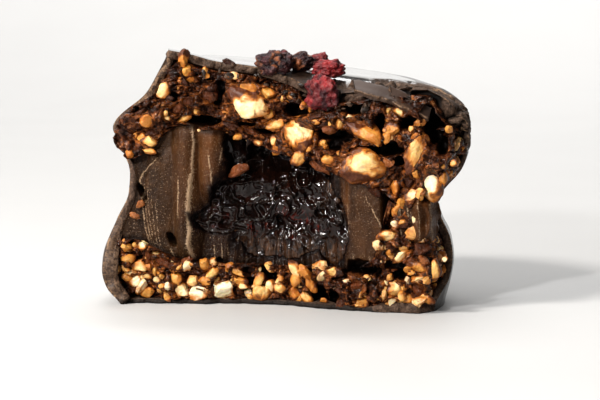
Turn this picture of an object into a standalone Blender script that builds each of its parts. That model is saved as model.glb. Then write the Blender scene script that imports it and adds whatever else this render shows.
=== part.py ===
"""A bitten alfajor: two biscuits of chopped nuts and dates, caramel with a berry-jam core between
them, a dark chocolate coat round the lot and dried berry pieces on top. Metres, +Z up. The bitten
face looks along -Y and the part rests on the flat chocolate base."""

import math
import random

import bmesh
import bpy
import numpy as np
from mathutils import Vector

# Sizes are in millimetres and become metres where a mesh is made.
MM = 0.001
MERGE = 0.02

# The whole cake: two discs that have slid a little sideways. The wall tables hold heights and
# how far out the wall stands, to the left, to the right and at the back.
LOWER_SHIFT = -1.3
UPPER_SHIFT = 1.3
WAIST_HEIGHT = 18.0
LEFT_WALL = (
    (0, 25.8), (2, 28.2), (5, 29.1), (8.5, 28.6), (12, 27.2), (14.5, 26.2), (17, 25.8),
    (21, 27.0), (25, 28.5), (28.5, 30.3), (30, 30.0), (32, 27.8), (34.2, 24.4), (36, 23.2),
    (39, 21.6), (42, 20.2),
)
RIGHT_WALL = ((0, 28.4), (2, 28.9), (5, 29.6), (8.5, 29.9), (12, 29.3), (14.5, 27.7), (17.5, 25.7),
              (20, 26.5), (23, 28.6), (26, 29.7), (29, 30.2), (33, 30.2))
BACK_WALL = ((0, 27.8), (3, 29.0), (8, 29.4), (18, 28.2), (28, 29.4), (33, 29.2))
TOP_EDGE = 9.0
TOP_EDGE_START = 29.5

# The domed top falls to the right. In front its left end rises to a peak, and right of the middle
# it has broken and tips forward.
TOP_HEIGHT = 38.8
TOP_SLOPE = -0.09
FRONT_TOP = ((-24, 42.3), (-19, 42.2), (-14, 41.4), (-10.6, 40.4), (-6, 39.9), (1, 39.0), (9, 38.1),
             (17, 37.4), (24, 36.8), (30, 36.4))
FRONT_DROP = 2.7
FRONT_DROP_X = 9.0
FRONT_DROP_HALF = 8.5

# Layers, as heights on the disc's axis, and how they turn up or down at the wall.
LOWER_BISCUIT_TOP = 6.8
CUP_RISE = 6.0
CUP_RISE_RIGHT = 2.5
UPPER_BISCUIT_BASE = 25.4
UPPER_BISCUIT_SLOPE = -0.3
RIM_DROP = 2.0
RIM_DROP_LEFT = 4.5
LAYER_RADIUS = 25.5
CAP_RADIUS = 22.5
CAP_CENTRE = np.array([0.0, 8.0])
TOP_CAP = (0.7, 0.35)
CAP_SETBACK = 4.0
COAT_THICKNESS = 1.3
COAT_THICK_END = 2.0
COAT_BASE = 1.0
GAP = 0.42
FILLING_GAP = 0.5
TOP_GAP = 0.5

# The bite: its ends stand forward and its middle is hollow. The coat's left end stands behind it
# where the coat has come off.
BITE_END_Y = -7.0
BITE_SKEW = -0.03
BITE_HOLLOW = 3.6
BITE_CENTRE_X = -3.0
BITE_HALF = 12.0
RIGHT_END = math.radians(-14)
LEFT_END = math.radians(193)
COAT_RIGHT_END = ((0, -13), (1.5, -10), (4, 4), (19, 5), (25, -10), (42, -14))
COAT_LEFT_END = ((0, 196), (9, 196), (13, 186), (17, 182), (31, 183), (35.5, 192), (42, 192))

# The jam core.
JAM_CENTRE = (-0.8, 1.5, 18.2)
JAM_HALF_SIZE = (11.0, 8.5, 10.0)
JAM_FRONT = 1.6
JAM_LUMPS = 0.26
JAM_LOBE = 0.26

# Big nut pieces that show in the bite: x, height, length, width, tilt in degrees.
UPPER_NUTS = (
    (-7.4, 34.4, 7.0, 4.6, -35),
    (-3.4, 36.2, 3.4, 2.8, 10),
    (2.0, 29.6, 5.6, 5.0, 60),
    (12.7, 30.6, 6.8, 4.6, -28),
    (12.4, 25.1, 7.2, 5.0, -15),
    (21.4, 26.6, 6.2, 3.8, 68),
    (24.1, 22.0, 5.6, 3.8, -78),
    (-18.4, 35.4, 3.6, 2.4, 65),
    (-16.4, 38.4, 2.8, 2.0, 70),
    (-22.6, 31.0, 2.8, 2.5, 0),
    (-22.4, 28.2, 2.8, 2.0, 10),
    (17.8, 30.8, 3.4, 2.8, 75),
    (-2.4, 28.9, 2.8, 2.3, 50),
    (2.1, 26.6, 3.6, 2.2, 15),
)
LOWER_NUTS = (
    (-10.8, 3.3, 5.0, 3.6, 15),
    (-15.3, 3.0, 4.6, 3.6, -10),
    (-17.6, 3.8, 3.2, 3.0, 20),
    (-23.6, 7.4, 3.8, 3.0, 10),
    (-24.4, 5.0, 2.6, 2.4, -50),
    (-22.6, 3.2, 2.6, 2.4, 0),
    (-12.9, 4.9, 3.6, 2.0, 30),
    (-7.3, 4.3, 3.2, 2.6, -20),
    (-4.7, 3.7, 4.0, 3.6, 50),
    (-2.4, 4.2, 3.0, 2.8, 0),
    (1.4, 4.5, 3.4, 2.6, 75),
    (3.2, 3.3, 3.8, 2.6, -45),
    (7.2, 4.6, 3.0, 2.4, 10),
    (17.8, 4.4, 4.2, 3.6, 15),
    (21.4, 8.0, 4.4, 2.6, -10),
    (23.0, 5.6, 2.6, 3.4, 0),
    (13.0, 3.2, 5.4, 4.0, 10),
)
NUT_CORNERS = 13
SMALL_NUTS_UPPER = 13
SMALL_NUTS_LOWER = 12
SMALL_NUT_SIZE = (1.4, 2.2)

# Dried berry pieces: x, y, height of the middle, half sizes, turn in degrees.
BERRIES = (
    (-2.2, -3.0, 40.3, (2.9, 2.3, 2.0), 20),
    (2.2, 0.6, 40.2, (2.2, 2.0, 1.8), -30),
    (6.8, -1.8, 39.0, (2.7, 2.0, 1.7), 8),
    (6.1, -6.4, 36.2, (3.0, 2.2, 2.8), -25),
    (-1.4, 5.0, 40.2, (2.3, 1.9, 1.6), 70),
    (5.0, 6.0, 39.8, (1.9, 2.2, 1.5), 15),
)
DRUPELETS = 16
DRUPELET_HALF_ANGLE = 0.42
DRUPELET_RISE = 0.20
NEST_GAP = 0.35

# The broken plate of the coat that has tipped forward over the bite, right of the middle.
SHARD_SIZE = (12.2, 4.0, 1.3)
SHARD_CENTRE = (18.0, -6.8, 36.2)
SHARD_TILT = math.radians(32)
SHARD_FALL = math.radians(17)
SHARD_BEND = 0.022
SHARD_RAGGED = 0.35
SHARD_NOTCH = 3.4

COLOURS = {
    "chocolate": ((0.035, 0.022, 0.016, 1), 0.25),
    "broken_chocolate": ((0.06, 0.042, 0.033, 1), 0.6),
    "biscuit": ((0.16, 0.065, 0.028, 1), 0.6),
    "caramel": ((0.10, 0.048, 0.022, 1), 0.4),
    "jam": ((0.018, 0.006, 0.006, 1), 0.1),
    "berry": ((0.22, 0.012, 0.015, 1), 0.6),
}


def smooth(low, high, value):
    """0 below low, 1 above high, an S-curve between. low may be above high."""
    share = np.clip((value - low) / (high - low), 0, 1)
    return share * share * (3 - 2 * share)


def bump(value, centre, half):
    """A bell of height 1 at centre, down to about a third at half away."""
    return np.exp(-(((value - centre) / half) ** 2))


def corner_value(i, j, k, seed):
    """A repeatable number from -1 to 1 for each corner of a lattice."""
    mixed = (i * 73856093) ^ (j * 19349663) ^ (k * 83492791) ^ (seed * 49979687)
    mixed = ((mixed ^ (mixed >> 13)) * 1274126177) & 0x7FFFFFFF
    mixed = ((mixed ^ (mixed >> 15)) * 668265263) & 0x7FFFFFFF
    return (mixed & 0xFFFFFF) / 0x7FFFFF - 1


def noise(x, y, z, seed):
    """Smooth noise from -1 to 1 on a lattice of unit cells."""
    place = np.stack(np.broadcast_arrays(x, y, z)).astype(float)
    cell = np.floor(place)
    share = place - cell
    share = share * share * (3 - 2 * share)
    i, j, k = cell.astype(np.int64)
    total = 0
    for di in (0, 1):
        for dj in (0, 1):
            for dk in (0, 1):
                near = np.array([1 - di, 1 - dj, 1 - dk]).reshape(3, *[1] * (share.ndim - 1))
                weight = np.prod(np.abs(near - share), axis=0)
                total = total + weight * corner_value(i + di, j + dj, k + dk, seed)
    return total


def curve(table, value):
    """A softly rounded line through a table of (place, number) pairs."""
    place, number = np.array(table, float).T
    grid = np.linspace(place[0] - 2, place[-1] + 2, 241)
    line = np.interp(grid, place, number)
    width = max(3, round(2.4 / (grid[1] - grid[0])))
    weight = np.hanning(2 * width + 1)
    line = np.convolve(np.pad(line, width, mode="edge"), weight / weight.sum(), "valid")
    return np.interp(value, grid, line)


def axis_shift(z):
    """The upper disc stands further right than the lower one."""
    return LOWER_SHIFT + (UPPER_SHIFT - LOWER_SHIFT) * smooth(13, 23, z)


def top_height(x, y):
    """The outside of the coat's top before its rounded edge."""
    whole = TOP_HEIGHT + TOP_SLOPE * x
    front = curve(FRONT_TOP, x) - FRONT_DROP * bump(x, FRONT_DROP_X, FRONT_DROP_HALF) * smooth(2, -6, y)
    waves = 0.35 * noise(x / 11, y / 11, 0.5, 3)
    return whole + (front - whole) * smooth(9, -3, y) + waves


def wall_radius(angle, z):
    """From the disc's axis to the outside of the coat at that height."""
    top = top_height(28 * np.cos(angle), 28 * np.sin(angle))
    edge = np.clip((z - TOP_EDGE_START) / (top - TOP_EDGE_START), 0, 1)
    rounding = TOP_EDGE * (1 - np.sqrt(1 - edge**2))
    to_right = smooth(0.25, 0.95, np.cos(angle))
    to_left = smooth(math.radians(128), math.radians(176), angle)
    back = curve(BACK_WALL, z) - rounding
    right = curve(RIGHT_WALL, z) - rounding
    waves = 0.35 * noise(3.2 * np.cos(angle), 3.2 * np.sin(angle), z / 9, 7)
    return back + (right - back) * to_right + (curve(LEFT_WALL, z) - back) * to_left + waves


def coat_thickness(angle, z):
    """The coat is thickest at the right shoulder, where it ran together."""
    return COAT_THICKNESS + COAT_THICK_END * bump(z, 32, 5) * smooth(0.5, 0.95, np.cos(angle))


def swelling(angle, z):
    """The crumb bulges out where the coat has come off: low on the right, high on the left."""
    right = smooth(math.radians(1), math.radians(-8), angle) * smooth(3, 6, z) * smooth(20, 17, z)
    left = smooth(math.radians(187), math.radians(191), angle) * smooth(23, 26, z) * smooth(34, 31, z)
    return COAT_THICKNESS * (0.35 * left + right)


def nearness_to_wall(x, y):
    return smooth(0.62, 1.0, np.hypot(x, y) / LAYER_RADIUS)


def lower_biscuit_top(x, y):
    """The lower biscuit cups up at the wall, most of all on the right."""
    cup = CUP_RISE + CUP_RISE_RIGHT * np.clip(x / LAYER_RADIUS, -1, 1)
    waves = 0.5 * noise(x / 4, y / 4, 0.5, 11)
    return LOWER_BISCUIT_TOP + waves + cup * nearness_to_wall(x, y)


def upper_biscuit_base(x, y):
    """The upper biscuit hangs lowest on the right, and turns down at the wall."""
    drop = RIM_DROP + RIM_DROP_LEFT * np.clip(-x / LAYER_RADIUS, 0, 1)
    waves = 0.6 * noise(x / 4, y / 4, 0.5, 13)
    return UPPER_BISCUIT_BASE + UPPER_BISCUIT_SLOPE * x + waves - drop * nearness_to_wall(x, y)


def bite_y(x):
    """The bitten face before any relief."""
    return BITE_END_Y + BITE_SKEW * x + BITE_HOLLOW * bump(x, BITE_CENTRE_X, BITE_HALF)


def biscuit_relief(x, z):
    """Crags of the broken biscuit."""
    return 1.2 * noise(x / 4.2, z / 3.4, 0.5, 17) + 0.7 * noise(x / 1.9, z / 1.7, 0.5, 19)


def caramel_relief(x, z):
    """Upright ridges that teeth drag in soft caramel."""
    lean = x + 0.09 * (z - 16) * np.sign(x)
    return 1.1 * noise(lean / 3.1, z / 26, 0.5, 23) + 0.6 * noise(lean / 1.6, z / 15, 0.5, 29)


class Layer:
    """A solid between two height functions, inside the wall and cut off in front by the bite."""

    def __init__(self, low, high, front, shares, inset=COAT_THICKNESS + GAP, across=46, around=17,
                 low_cap=(1, 0.7, 0.4), high_cap=(1, 0.7, 0.4), ends=(RIGHT_END, LEFT_END), swells=True,
                 end_slope=0):
        self.low = low
        self.high = high
        self.front = front
        self.shares = shares
        self.inset = inset
        self.across = across
        self.around = around
        self.low_cap = low_cap
        self.high_cap = high_cap
        self.ends = ends
        self.swells = swells
        self.end_slope = end_slope

    def height(self, x, y, share):
        low = self.low(x, y)
        return low + (self.high(x, y) - low) * share

    def wall(self, share):
        """Points round the wall from its right end to its left end."""
        angle = np.linspace(0, 1, self.around)
        z = np.full(self.around, WAIST_HEIGHT)
        for _ in range(6):
            right, left = (end(z) if callable(end) else end for end in self.ends)
            turn = right + (left - right) * angle
            radius = wall_radius(turn, z)
            if self.inset:
                radius = radius - coat_thickness(turn, z) + COAT_THICKNESS - self.inset
            if self.swells:
                radius = radius + swelling(turn, z)
            x = axis_shift(z) + radius * np.cos(turn)
            y = radius * np.sin(turn)
            z = self.height(x, y, share)
        return x, y, z

    def ring(self, share):
        """One closed line: round the wall from right to left, then back across the bite."""
        x, y, z = self.wall(share)
        steps = np.arange(1, self.across + 1) / (self.across + 1)
        front_x = x[-1] + (x[0] - x[-1]) * steps
        front_z = self.height(front_x, bite_y(front_x), share)
        front_y = self.front(front_x, front_z)
        if self.end_slope:
            right_face = y[0] - self.end_slope * (x[0] - front_x)
            left_face = y[-1] - self.end_slope * (front_x - x[-1])
            front_y = np.maximum(front_y, np.maximum(right_face, left_face))
        return np.column_stack([np.append(x, front_x), np.append(y, front_y), np.append(z, front_z)])

    def cap_ring(self, shrink, height):
        """A ring of an end face. Its places are the same for all layers, so that they fit."""
        turn = np.linspace(0, math.pi, self.around)
        x = CAP_RADIUS * np.cos(turn)
        y = CAP_RADIUS * np.sin(turn)
        steps = np.arange(1, self.across + 1) / (self.across + 1)
        front_x = x[-1] + (x[0] - x[-1]) * steps
        xy = np.column_stack([np.append(x, front_x), np.append(y, bite_y(front_x) + CAP_SETBACK)])
        xy = CAP_CENTRE + (xy - CAP_CENTRE) * shrink
        return np.column_stack([xy, height(xy[:, 0], xy[:, 1])])

    def rings(self):
        """From the middle of the underside, up the wall, to the middle of the top."""
        first = np.array([[*CAP_CENTRE, float(self.low(*CAP_CENTRE))]])
        last = np.array([[*CAP_CENTRE, float(self.high(*CAP_CENTRE))]])
        under = [self.cap_ring(shrink, self.low) for shrink in self.low_cap[::-1]]
        over = [self.cap_ring(shrink, self.high) for shrink in self.high_cap]
        return [first, *under, *(self.ring(share) for share in self.shares), *over, last]


def new_object(name, shape, colour=None, place=(0, 0, 0), turn=(0, 0, 0)):
    """Makes an object of a bmesh, at a place in millimetres and turned by radians."""
    bmesh.ops.recalc_face_normals(shape, faces=shape.faces)
    mesh = bpy.data.meshes.new(name)
    shape.to_mesh(mesh)
    shape.free()
    obj = bpy.data.objects.new(name, mesh)
    obj.location = Vector(place) * MM
    obj.rotation_euler = turn
    bpy.context.scene.collection.objects.link(obj)
    if colour:
        mesh.materials.append(bpy.data.materials[colour])
    return obj


def skin(rings):
    """A closed surface over rings of equal length that begin and end in a single point."""
    shape = bmesh.new()
    first, *loops, last = [[shape.verts.new(point) for point in ring * MM] for ring in rings]
    for n in range(len(loops[0])):
        after = (n + 1) % len(loops[0])
        shape.faces.new((first[0], loops[0][after], loops[0][n]))
        for low, high in zip(loops, loops[1:]):
            shape.faces.new((low[n], low[after], high[after], high[n]))
        shape.faces.new((loops[-1][n], loops[-1][after], last[0]))
    return shape


def apply_boolean(obj, operation, operand=None, collection=None):
    """Runs one Boolean and keeps its result as the object's mesh."""
    modifier = obj.modifiers.new(operation, "BOOLEAN")
    modifier.operation = operation
    modifier.solver = "MANIFOLD"
    if collection:
        modifier.operand_type = "COLLECTION"
        modifier.collection = collection
    else:
        modifier.object = operand
    graph = bpy.context.evaluated_depsgraph_get()
    result = bpy.data.meshes.new_from_object(obj.evaluated_get(graph), depsgraph=graph)
    obj.modifiers.clear()
    shape = bmesh.new()
    shape.from_mesh(result)
    bmesh.ops.remove_doubles(shape, verts=shape.verts, dist=MERGE * MM)
    shape.to_mesh(result)
    shape.free()
    obj.data = result


def nut_piece(name, place, size, tilt, draw):
    """A chopped nut: the hull of points drawn on an ellipsoid."""
    shape = bmesh.new()
    for _ in range(NUT_CORNERS):
        direction = Vector([draw.gauss(0, 1) for _ in range(3)]).normalized()
        reach = draw.uniform(0.92, 1.12) * MM / 2
        shape.verts.new([reach * direction[n] * size[n] for n in range(3)])
    hull = bmesh.ops.convex_hull(shape, input=shape.verts)
    spare = [v for v in hull["geom_interior"] if isinstance(v, bmesh.types.BMVert)]
    bmesh.ops.delete(shape, geom=spare, context="VERTS")
    return new_object(name, shape, None, place, (0, -math.radians(tilt), 0))


def fuse_nuts(biscuit, front, big, small_count, small_box, seed):
    """Sets nut pieces into the bitten face of a biscuit and joins them to it."""
    draw = random.Random(seed)
    sites = list(big)
    for n in range(small_count):
        x = small_box[0] + (small_box[1] - small_box[0]) * (n + draw.random()) / small_count
        z = draw.uniform(small_box[2], small_box[3]) + small_box[4] * x
        length = draw.uniform(*SMALL_NUT_SIZE)
        sites.append((x, z, length, 0.85 * length, draw.uniform(-90, 90)))
    pieces = bpy.data.collections.new(biscuit.name + "_nuts")
    for n, (x, z, length, width, tilt) in enumerate(sites):
        y = float(front(np.array([x]), np.array([z]))[0])
        size = (length, 0.8 * width, width)
        pieces.objects.link(nut_piece(f"nut_{n}", (x, y, z), size, tilt, draw))
    apply_boolean(biscuit, "UNION", collection=pieces)
    remove(pieces.objects)
    bpy.data.collections.remove(pieces)


def ball(half_size, columns, rows, shape):
    """A closed ellipsoid of rings. shape moves its points, given as directions and places."""
    rings = []
    for row in range(rows + 1):
        tilt = math.pi * row / rows
        turn = np.linspace(0, 2 * math.pi, columns, endpoint=False) if 0 < row < rows else np.zeros(1)
        direction = np.column_stack(
            [math.sin(tilt) * np.cos(turn), math.sin(tilt) * np.sin(turn), np.full(turn.shape, -math.cos(tilt))]
        )
        rings.append(shape(direction, direction * np.array(half_size)))
    return skin(rings)


def berry(name, number, grow=0.0, colour=None):
    """A dried berry piece: an ellipsoid covered in drupelets, sunk a little in the coat."""
    x, y, z, half_size, turn = BERRIES[number]
    draw = random.Random(100 + number)
    knobs = np.array([[draw.gauss(0, 1) for _ in range(3)] for _ in range(DRUPELETS)])
    knobs /= np.linalg.norm(knobs, axis=1)[:, None]

    def with_drupelets(direction, place):
        away = np.arccos(np.clip(direction @ knobs.T, -1, 1)).min(axis=1)
        rise = 1 - DRUPELET_RISE * smooth(0, 1.6 * DRUPELET_HALF_ANGLE, away)
        return place * rise[:, None]

    shape = ball([side + grow for side in half_size], 12, 8, with_drupelets)
    return new_object(name, shape, colour, (x, y, z), (0, 0, math.radians(turn)))


def jam(name, grow=0.0, colour=None):
    """The jam core. The grown copy, which cuts its seat in the caramel, isn't trimmed."""

    def trimmed(direction, place):
        lobe = JAM_LOBE * bump(direction @ np.array([-0.93, -0.24, -0.28]), 1, 0.2)
        swell = 1 + JAM_LUMPS * noise(*(2.1 * direction.T), 41) + lobe
        place = np.array(JAM_CENTRE) + place * swell[:, None]
        if grow:
            return place
        x, y, z = place.T
        lumps = 0.5 * noise(x / 2.2, y / 2.2, z / 2.2, 31)
        y = np.maximum(y, bite_y(x) + JAM_FRONT + lumps)
        z = np.minimum(z, upper_biscuit_base(x, y) - FILLING_GAP)
        return np.column_stack([x, y, z])

    return new_object(name, ball([side + grow for side in JAM_HALF_SIZE], 24, 13, trimmed), colour)


def shard(name, grow=0.0, colour=None):
    """A plate snapped off the coat, bent as the dome was, tipped forward."""
    length, width, thickness = ((side + 2 * grow) * MM for side in SHARD_SIZE)
    shape = bmesh.new()
    made = bmesh.ops.create_grid(shape, x_segments=8, y_segments=3, size=0.5)
    bmesh.ops.scale(shape, vec=(length, width, 1), verts=made["verts"])
    top = bmesh.ops.extrude_face_region(shape, geom=shape.faces[:])
    raised = [v for v in top["geom"] if isinstance(v, bmesh.types.BMVert)]
    bmesh.ops.translate(shape, vec=(0, 0, thickness), verts=raised)
    for vert in shape.verts:
        x = vert.co.x / MM
        vert.co.z -= thickness / 2 + SHARD_BEND * x**2 * MM
        vert.co.y += SHARD_RAGGED * math.sin(1.3 * x) * (vert.co.y < 0) * MM
    return new_object(name, shape, colour, SHARD_CENTRE, (SHARD_TILT, SHARD_FALL, 0))


def coat_left_end(z):
    """The bite took more of the coat on the left, between the lower biscuit and the top."""
    return np.radians(curve(COAT_LEFT_END, z))


def coat_right_end(z):
    """On the right the coat is broken back from its base to the waist."""
    return np.radians(curve(COAT_RIGHT_END, z))


def coat_front(x, z):
    """The coat's broken edge: forward under the bite, back where the plate snapped off."""
    base = -0.7 * (1 - smooth(2, 6, z))
    notch = SHARD_NOTCH * bump(x, SHARD_CENTRE[0], 5.5) * smooth(20, 30, z)
    ragged = 0.5 * noise(x / 2.0, z / 2.0, 0.5, 37)
    return bite_y(x) + base + notch + ragged


def outer_body():
    """Everything inside the outside of the coat."""
    shares = np.array([0, 0.03, 0.08, 0.16, 0.27, 0.39, 0.51, 0.63, 0.74, 0.83, 0.91, 0.97, 1])
    layer = Layer(
        lambda x, y: 0 * x, top_height, coat_front, shares, inset=0, across=30, around=24,
        low_cap=(), high_cap=TOP_CAP, ends=(coat_right_end, coat_left_end), swells=False,
        end_slope=1.5,
    )
    return new_object("chocolate_coat", skin(layer.rings()), "chocolate")


def cavity():
    """What the coat goes round. It runs out in front, so that the coat is open there."""
    shares = np.array([0, 0.05, 0.12, 0.21, 0.31, 0.4, 0.49, 0.57, 0.64, 0.69, 0.74, 0.79, 0.84, 0.9, 0.96, 1])
    layer = Layer(
        lambda x, y: COAT_BASE + 0 * x,
        lambda x, y: top_height(x, y) - COAT_THICKNESS,
        lambda x, z: BITE_END_Y - 12 + 0 * x,
        shares, inset=COAT_THICKNESS, across=4, around=28, low_cap=(), high_cap=TOP_CAP,
        ends=(math.radians(-34), math.radians(214)), swells=False,
    )
    return new_object("cavity", skin(layer.rings()))


def lower_front(x, z):
    return bite_y(x) - 0.8 + biscuit_relief(x, z)


def upper_front(x, z):
    return bite_y(x) - 0.4 + biscuit_relief(x, z + 40)


def caramel_front(x, z):
    return bite_y(x) + 1.2 + caramel_relief(x, z)


def biscuits():
    """Both biscuits, with the nut pieces that stand out of the bite."""
    lower = Layer(lambda x, y: COAT_BASE + GAP + 0 * x, lower_biscuit_top, lower_front,
                  np.linspace(0, 1, 8), low_cap=())
    upper = Layer(upper_biscuit_base, lambda x, y: top_height(x, y) - COAT_THICKNESS - TOP_GAP,
                  upper_front, np.linspace(0, 1, 11), high_cap=TOP_CAP)
    made_lower = new_object("lower_biscuit", skin(lower.rings()), "biscuit")
    made_upper = new_object("upper_biscuit", skin(upper.rings()), "biscuit")
    fuse_nuts(made_lower, lower_front, LOWER_NUTS, SMALL_NUTS_LOWER, (-24, 24, 2.5, 4.9, 0), 5)
    fuse_nuts(made_upper, upper_front, UPPER_NUTS, SMALL_NUTS_UPPER, (-18, 24, 28.5, 34, -0.12), 8)
    return made_lower, made_upper


def caramel():
    layer = Layer(lambda x, y: lower_biscuit_top(x, y) + FILLING_GAP,
                  lambda x, y: upper_biscuit_base(x, y) - FILLING_GAP, caramel_front, np.linspace(0, 1, 8))
    return new_object("caramel", skin(layer.rings()), "caramel")


def remove(objects):
    for obj in list(objects):
        bpy.data.objects.remove(obj)


def stand_on_origin():
    """Puts all pieces under one empty, with the middle of the cake's underside at the origin."""
    bpy.context.view_layer.update()
    pieces = list(bpy.data.objects)
    corners = np.array([obj.matrix_world @ vert.co for obj in pieces for vert in obj.data.vertices])
    middle = (corners.min(axis=0) + corners.max(axis=0)) / 2
    whole = bpy.data.objects.new("whole", None)
    bpy.context.scene.collection.objects.link(whole)
    whole.location = (-middle[0], -middle[1], -corners[:, 2].min())
    for obj in pieces:
        obj.parent = whole


def main():
    remove(bpy.data.objects)
    for name, (colour, roughness) in COLOURS.items():
        material = bpy.data.materials.new(name)
        material.use_nodes = True
        shader = material.node_tree.nodes["Principled BSDF"]
        shader.inputs["Base Color"].default_value = colour
        shader.inputs["Roughness"].default_value = roughness

    coat = outer_body()
    hollow = cavity()
    apply_boolean(coat, "DIFFERENCE", hollow)
    lower, upper = biscuits()
    filling = caramel()
    jam("jam", colour="jam")
    seat = jam("jam_seat", grow=NEST_GAP)
    apply_boolean(filling, "DIFFERENCE", seat)

    shard("chocolate_shard", colour="broken_chocolate")
    nests = [shard("shard_nest", grow=NEST_GAP)]
    for number in range(len(BERRIES)):
        berry(f"berry_{number + 1}", number, colour="berry")
        nests.append(berry(f"berry_nest_{number + 1}", number, grow=NEST_GAP))
    for nest in nests:
        apply_boolean(coat, "DIFFERENCE", nest)
        apply_boolean(upper, "DIFFERENCE", nest)
    remove([hollow, seat, *nests])

    for obj in bpy.data.objects:
        obj.data.shade_smooth()
        obj.data.set_sharp_from_angle(angle=math.radians(40))
    stand_on_origin()


main()
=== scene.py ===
"""A bitten alfajor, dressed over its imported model: craggy nut-and-date biscuits, dragged caramel, wet
berry jam, a snapped chocolate coat and dried berries. Shapes are worked out in millimetres."""

import math

import bmesh
import bpy
import numpy as np
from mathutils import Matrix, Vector


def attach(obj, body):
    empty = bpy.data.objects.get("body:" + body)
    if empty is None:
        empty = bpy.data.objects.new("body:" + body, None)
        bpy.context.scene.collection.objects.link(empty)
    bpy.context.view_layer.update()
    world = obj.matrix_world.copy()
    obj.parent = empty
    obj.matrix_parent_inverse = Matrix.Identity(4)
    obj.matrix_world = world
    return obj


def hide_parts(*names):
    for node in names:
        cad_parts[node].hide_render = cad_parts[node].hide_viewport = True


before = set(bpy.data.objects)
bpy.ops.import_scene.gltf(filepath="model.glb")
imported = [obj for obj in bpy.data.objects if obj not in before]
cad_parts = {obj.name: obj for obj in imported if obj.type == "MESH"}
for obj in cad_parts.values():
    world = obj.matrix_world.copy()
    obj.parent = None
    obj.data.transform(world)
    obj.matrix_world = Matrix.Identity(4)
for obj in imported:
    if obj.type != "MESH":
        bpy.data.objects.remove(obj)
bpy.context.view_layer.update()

MM = 0.001
# Centres the shapes over the origin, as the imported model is.
SHIFT = np.array([-0.6341, -9.8744, 0.0])

# The cake's outline and layers, as in the model.
LOWER_SHIFT, UPPER_SHIFT, WAIST_HEIGHT = -1.3, 1.3, 18.0
LEFT_WALL = (
    (0, 25.8), (2, 28.2), (5, 29.1), (8.5, 28.6), (12, 27.2), (14.5, 26.2), (17, 25.8),
    (21, 27.0), (25, 28.5), (28.5, 30.3), (30, 30.0), (32, 27.8), (34.2, 24.4), (36, 23.2),
    (39, 21.6), (42, 20.2),
)
RIGHT_WALL = ((0, 28.4), (2, 28.9), (5, 29.6), (8.5, 29.9), (12, 29.3), (14.5, 27.7), (17.5, 25.7),
              (20, 26.5), (23, 28.6), (26, 29.7), (29, 30.2), (33, 30.2))
BACK_WALL = ((0, 27.8), (3, 29.0), (8, 29.4), (18, 28.2), (28, 29.4), (33, 29.2))
TOP_EDGE, TOP_EDGE_START = 9.0, 29.5
TOP_HEIGHT, TOP_SLOPE = 38.8, -0.09
FRONT_TOP = ((-24, 42.3), (-19, 42.2), (-14, 41.4), (-10.6, 40.4), (-6, 39.9), (1, 39.0), (9, 38.1),
             (17, 37.4), (24, 36.8), (30, 36.4))
FRONT_DROP, FRONT_DROP_X, FRONT_DROP_HALF = 2.7, 9.0, 8.5
LOWER_BISCUIT_TOP, CUP_RISE, CUP_RISE_RIGHT = 6.8, 6.0, 2.5
UPPER_BISCUIT_BASE, UPPER_BISCUIT_SLOPE = 25.4, -0.3
RIM_DROP, RIM_DROP_LEFT, LAYER_RADIUS = 2.0, 4.5, 25.5
COAT_THICKNESS, COAT_THICK_END, COAT_BASE = 1.3, 2.2, 0.75
BITE_END_Y, BITE_SKEW, BITE_HOLLOW, BITE_CENTRE_X, BITE_HALF = -7.0, -0.03, 3.6, -3.0, 12.0
RIGHT_END, LEFT_END = math.radians(-14), math.radians(193)
COAT_RIGHT_END = ((0, -13), (2.5, -11), (5, -1), (19, 1), (27.5, -1), (31, -8), (42, -14))
COAT_LEFT_END = ((0, 200), (9, 201), (13, 188), (17, 183), (31, 184), (35.5, 194), (42, 193))

# The dressed layers: the gap under the coat, where their end faces shrink to, and how far below and in
# front a point may lie.
LAYER_GAP, CAP_CENTRE = 0.2, np.array([0.0, 8.0])
CAP_SHRINKS = 0.97, 0.8, 0.4
FLOOR_LIMIT, FRONT_LIMIT = 0.01, -10.5

# Points of each grid: round the wall, across the bite, and from the underside to the top.
BISCUIT_GRID, CARAMEL_GRID = (90, 290, 100), (50, 380, 110)
# Points of the pillows that lie in the bite: from the middle to the rim, and round.
JAM_GRID, PULLED_GRID = (131, 300), (60, 150)
# The coat's columns, and its rows over the base, wall and top.
COAT_COLUMNS, COAT_BASE_ROWS, COAT_WALL_ROWS, COAT_TOP_ROWS = 210, 12, 104, 44

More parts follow.
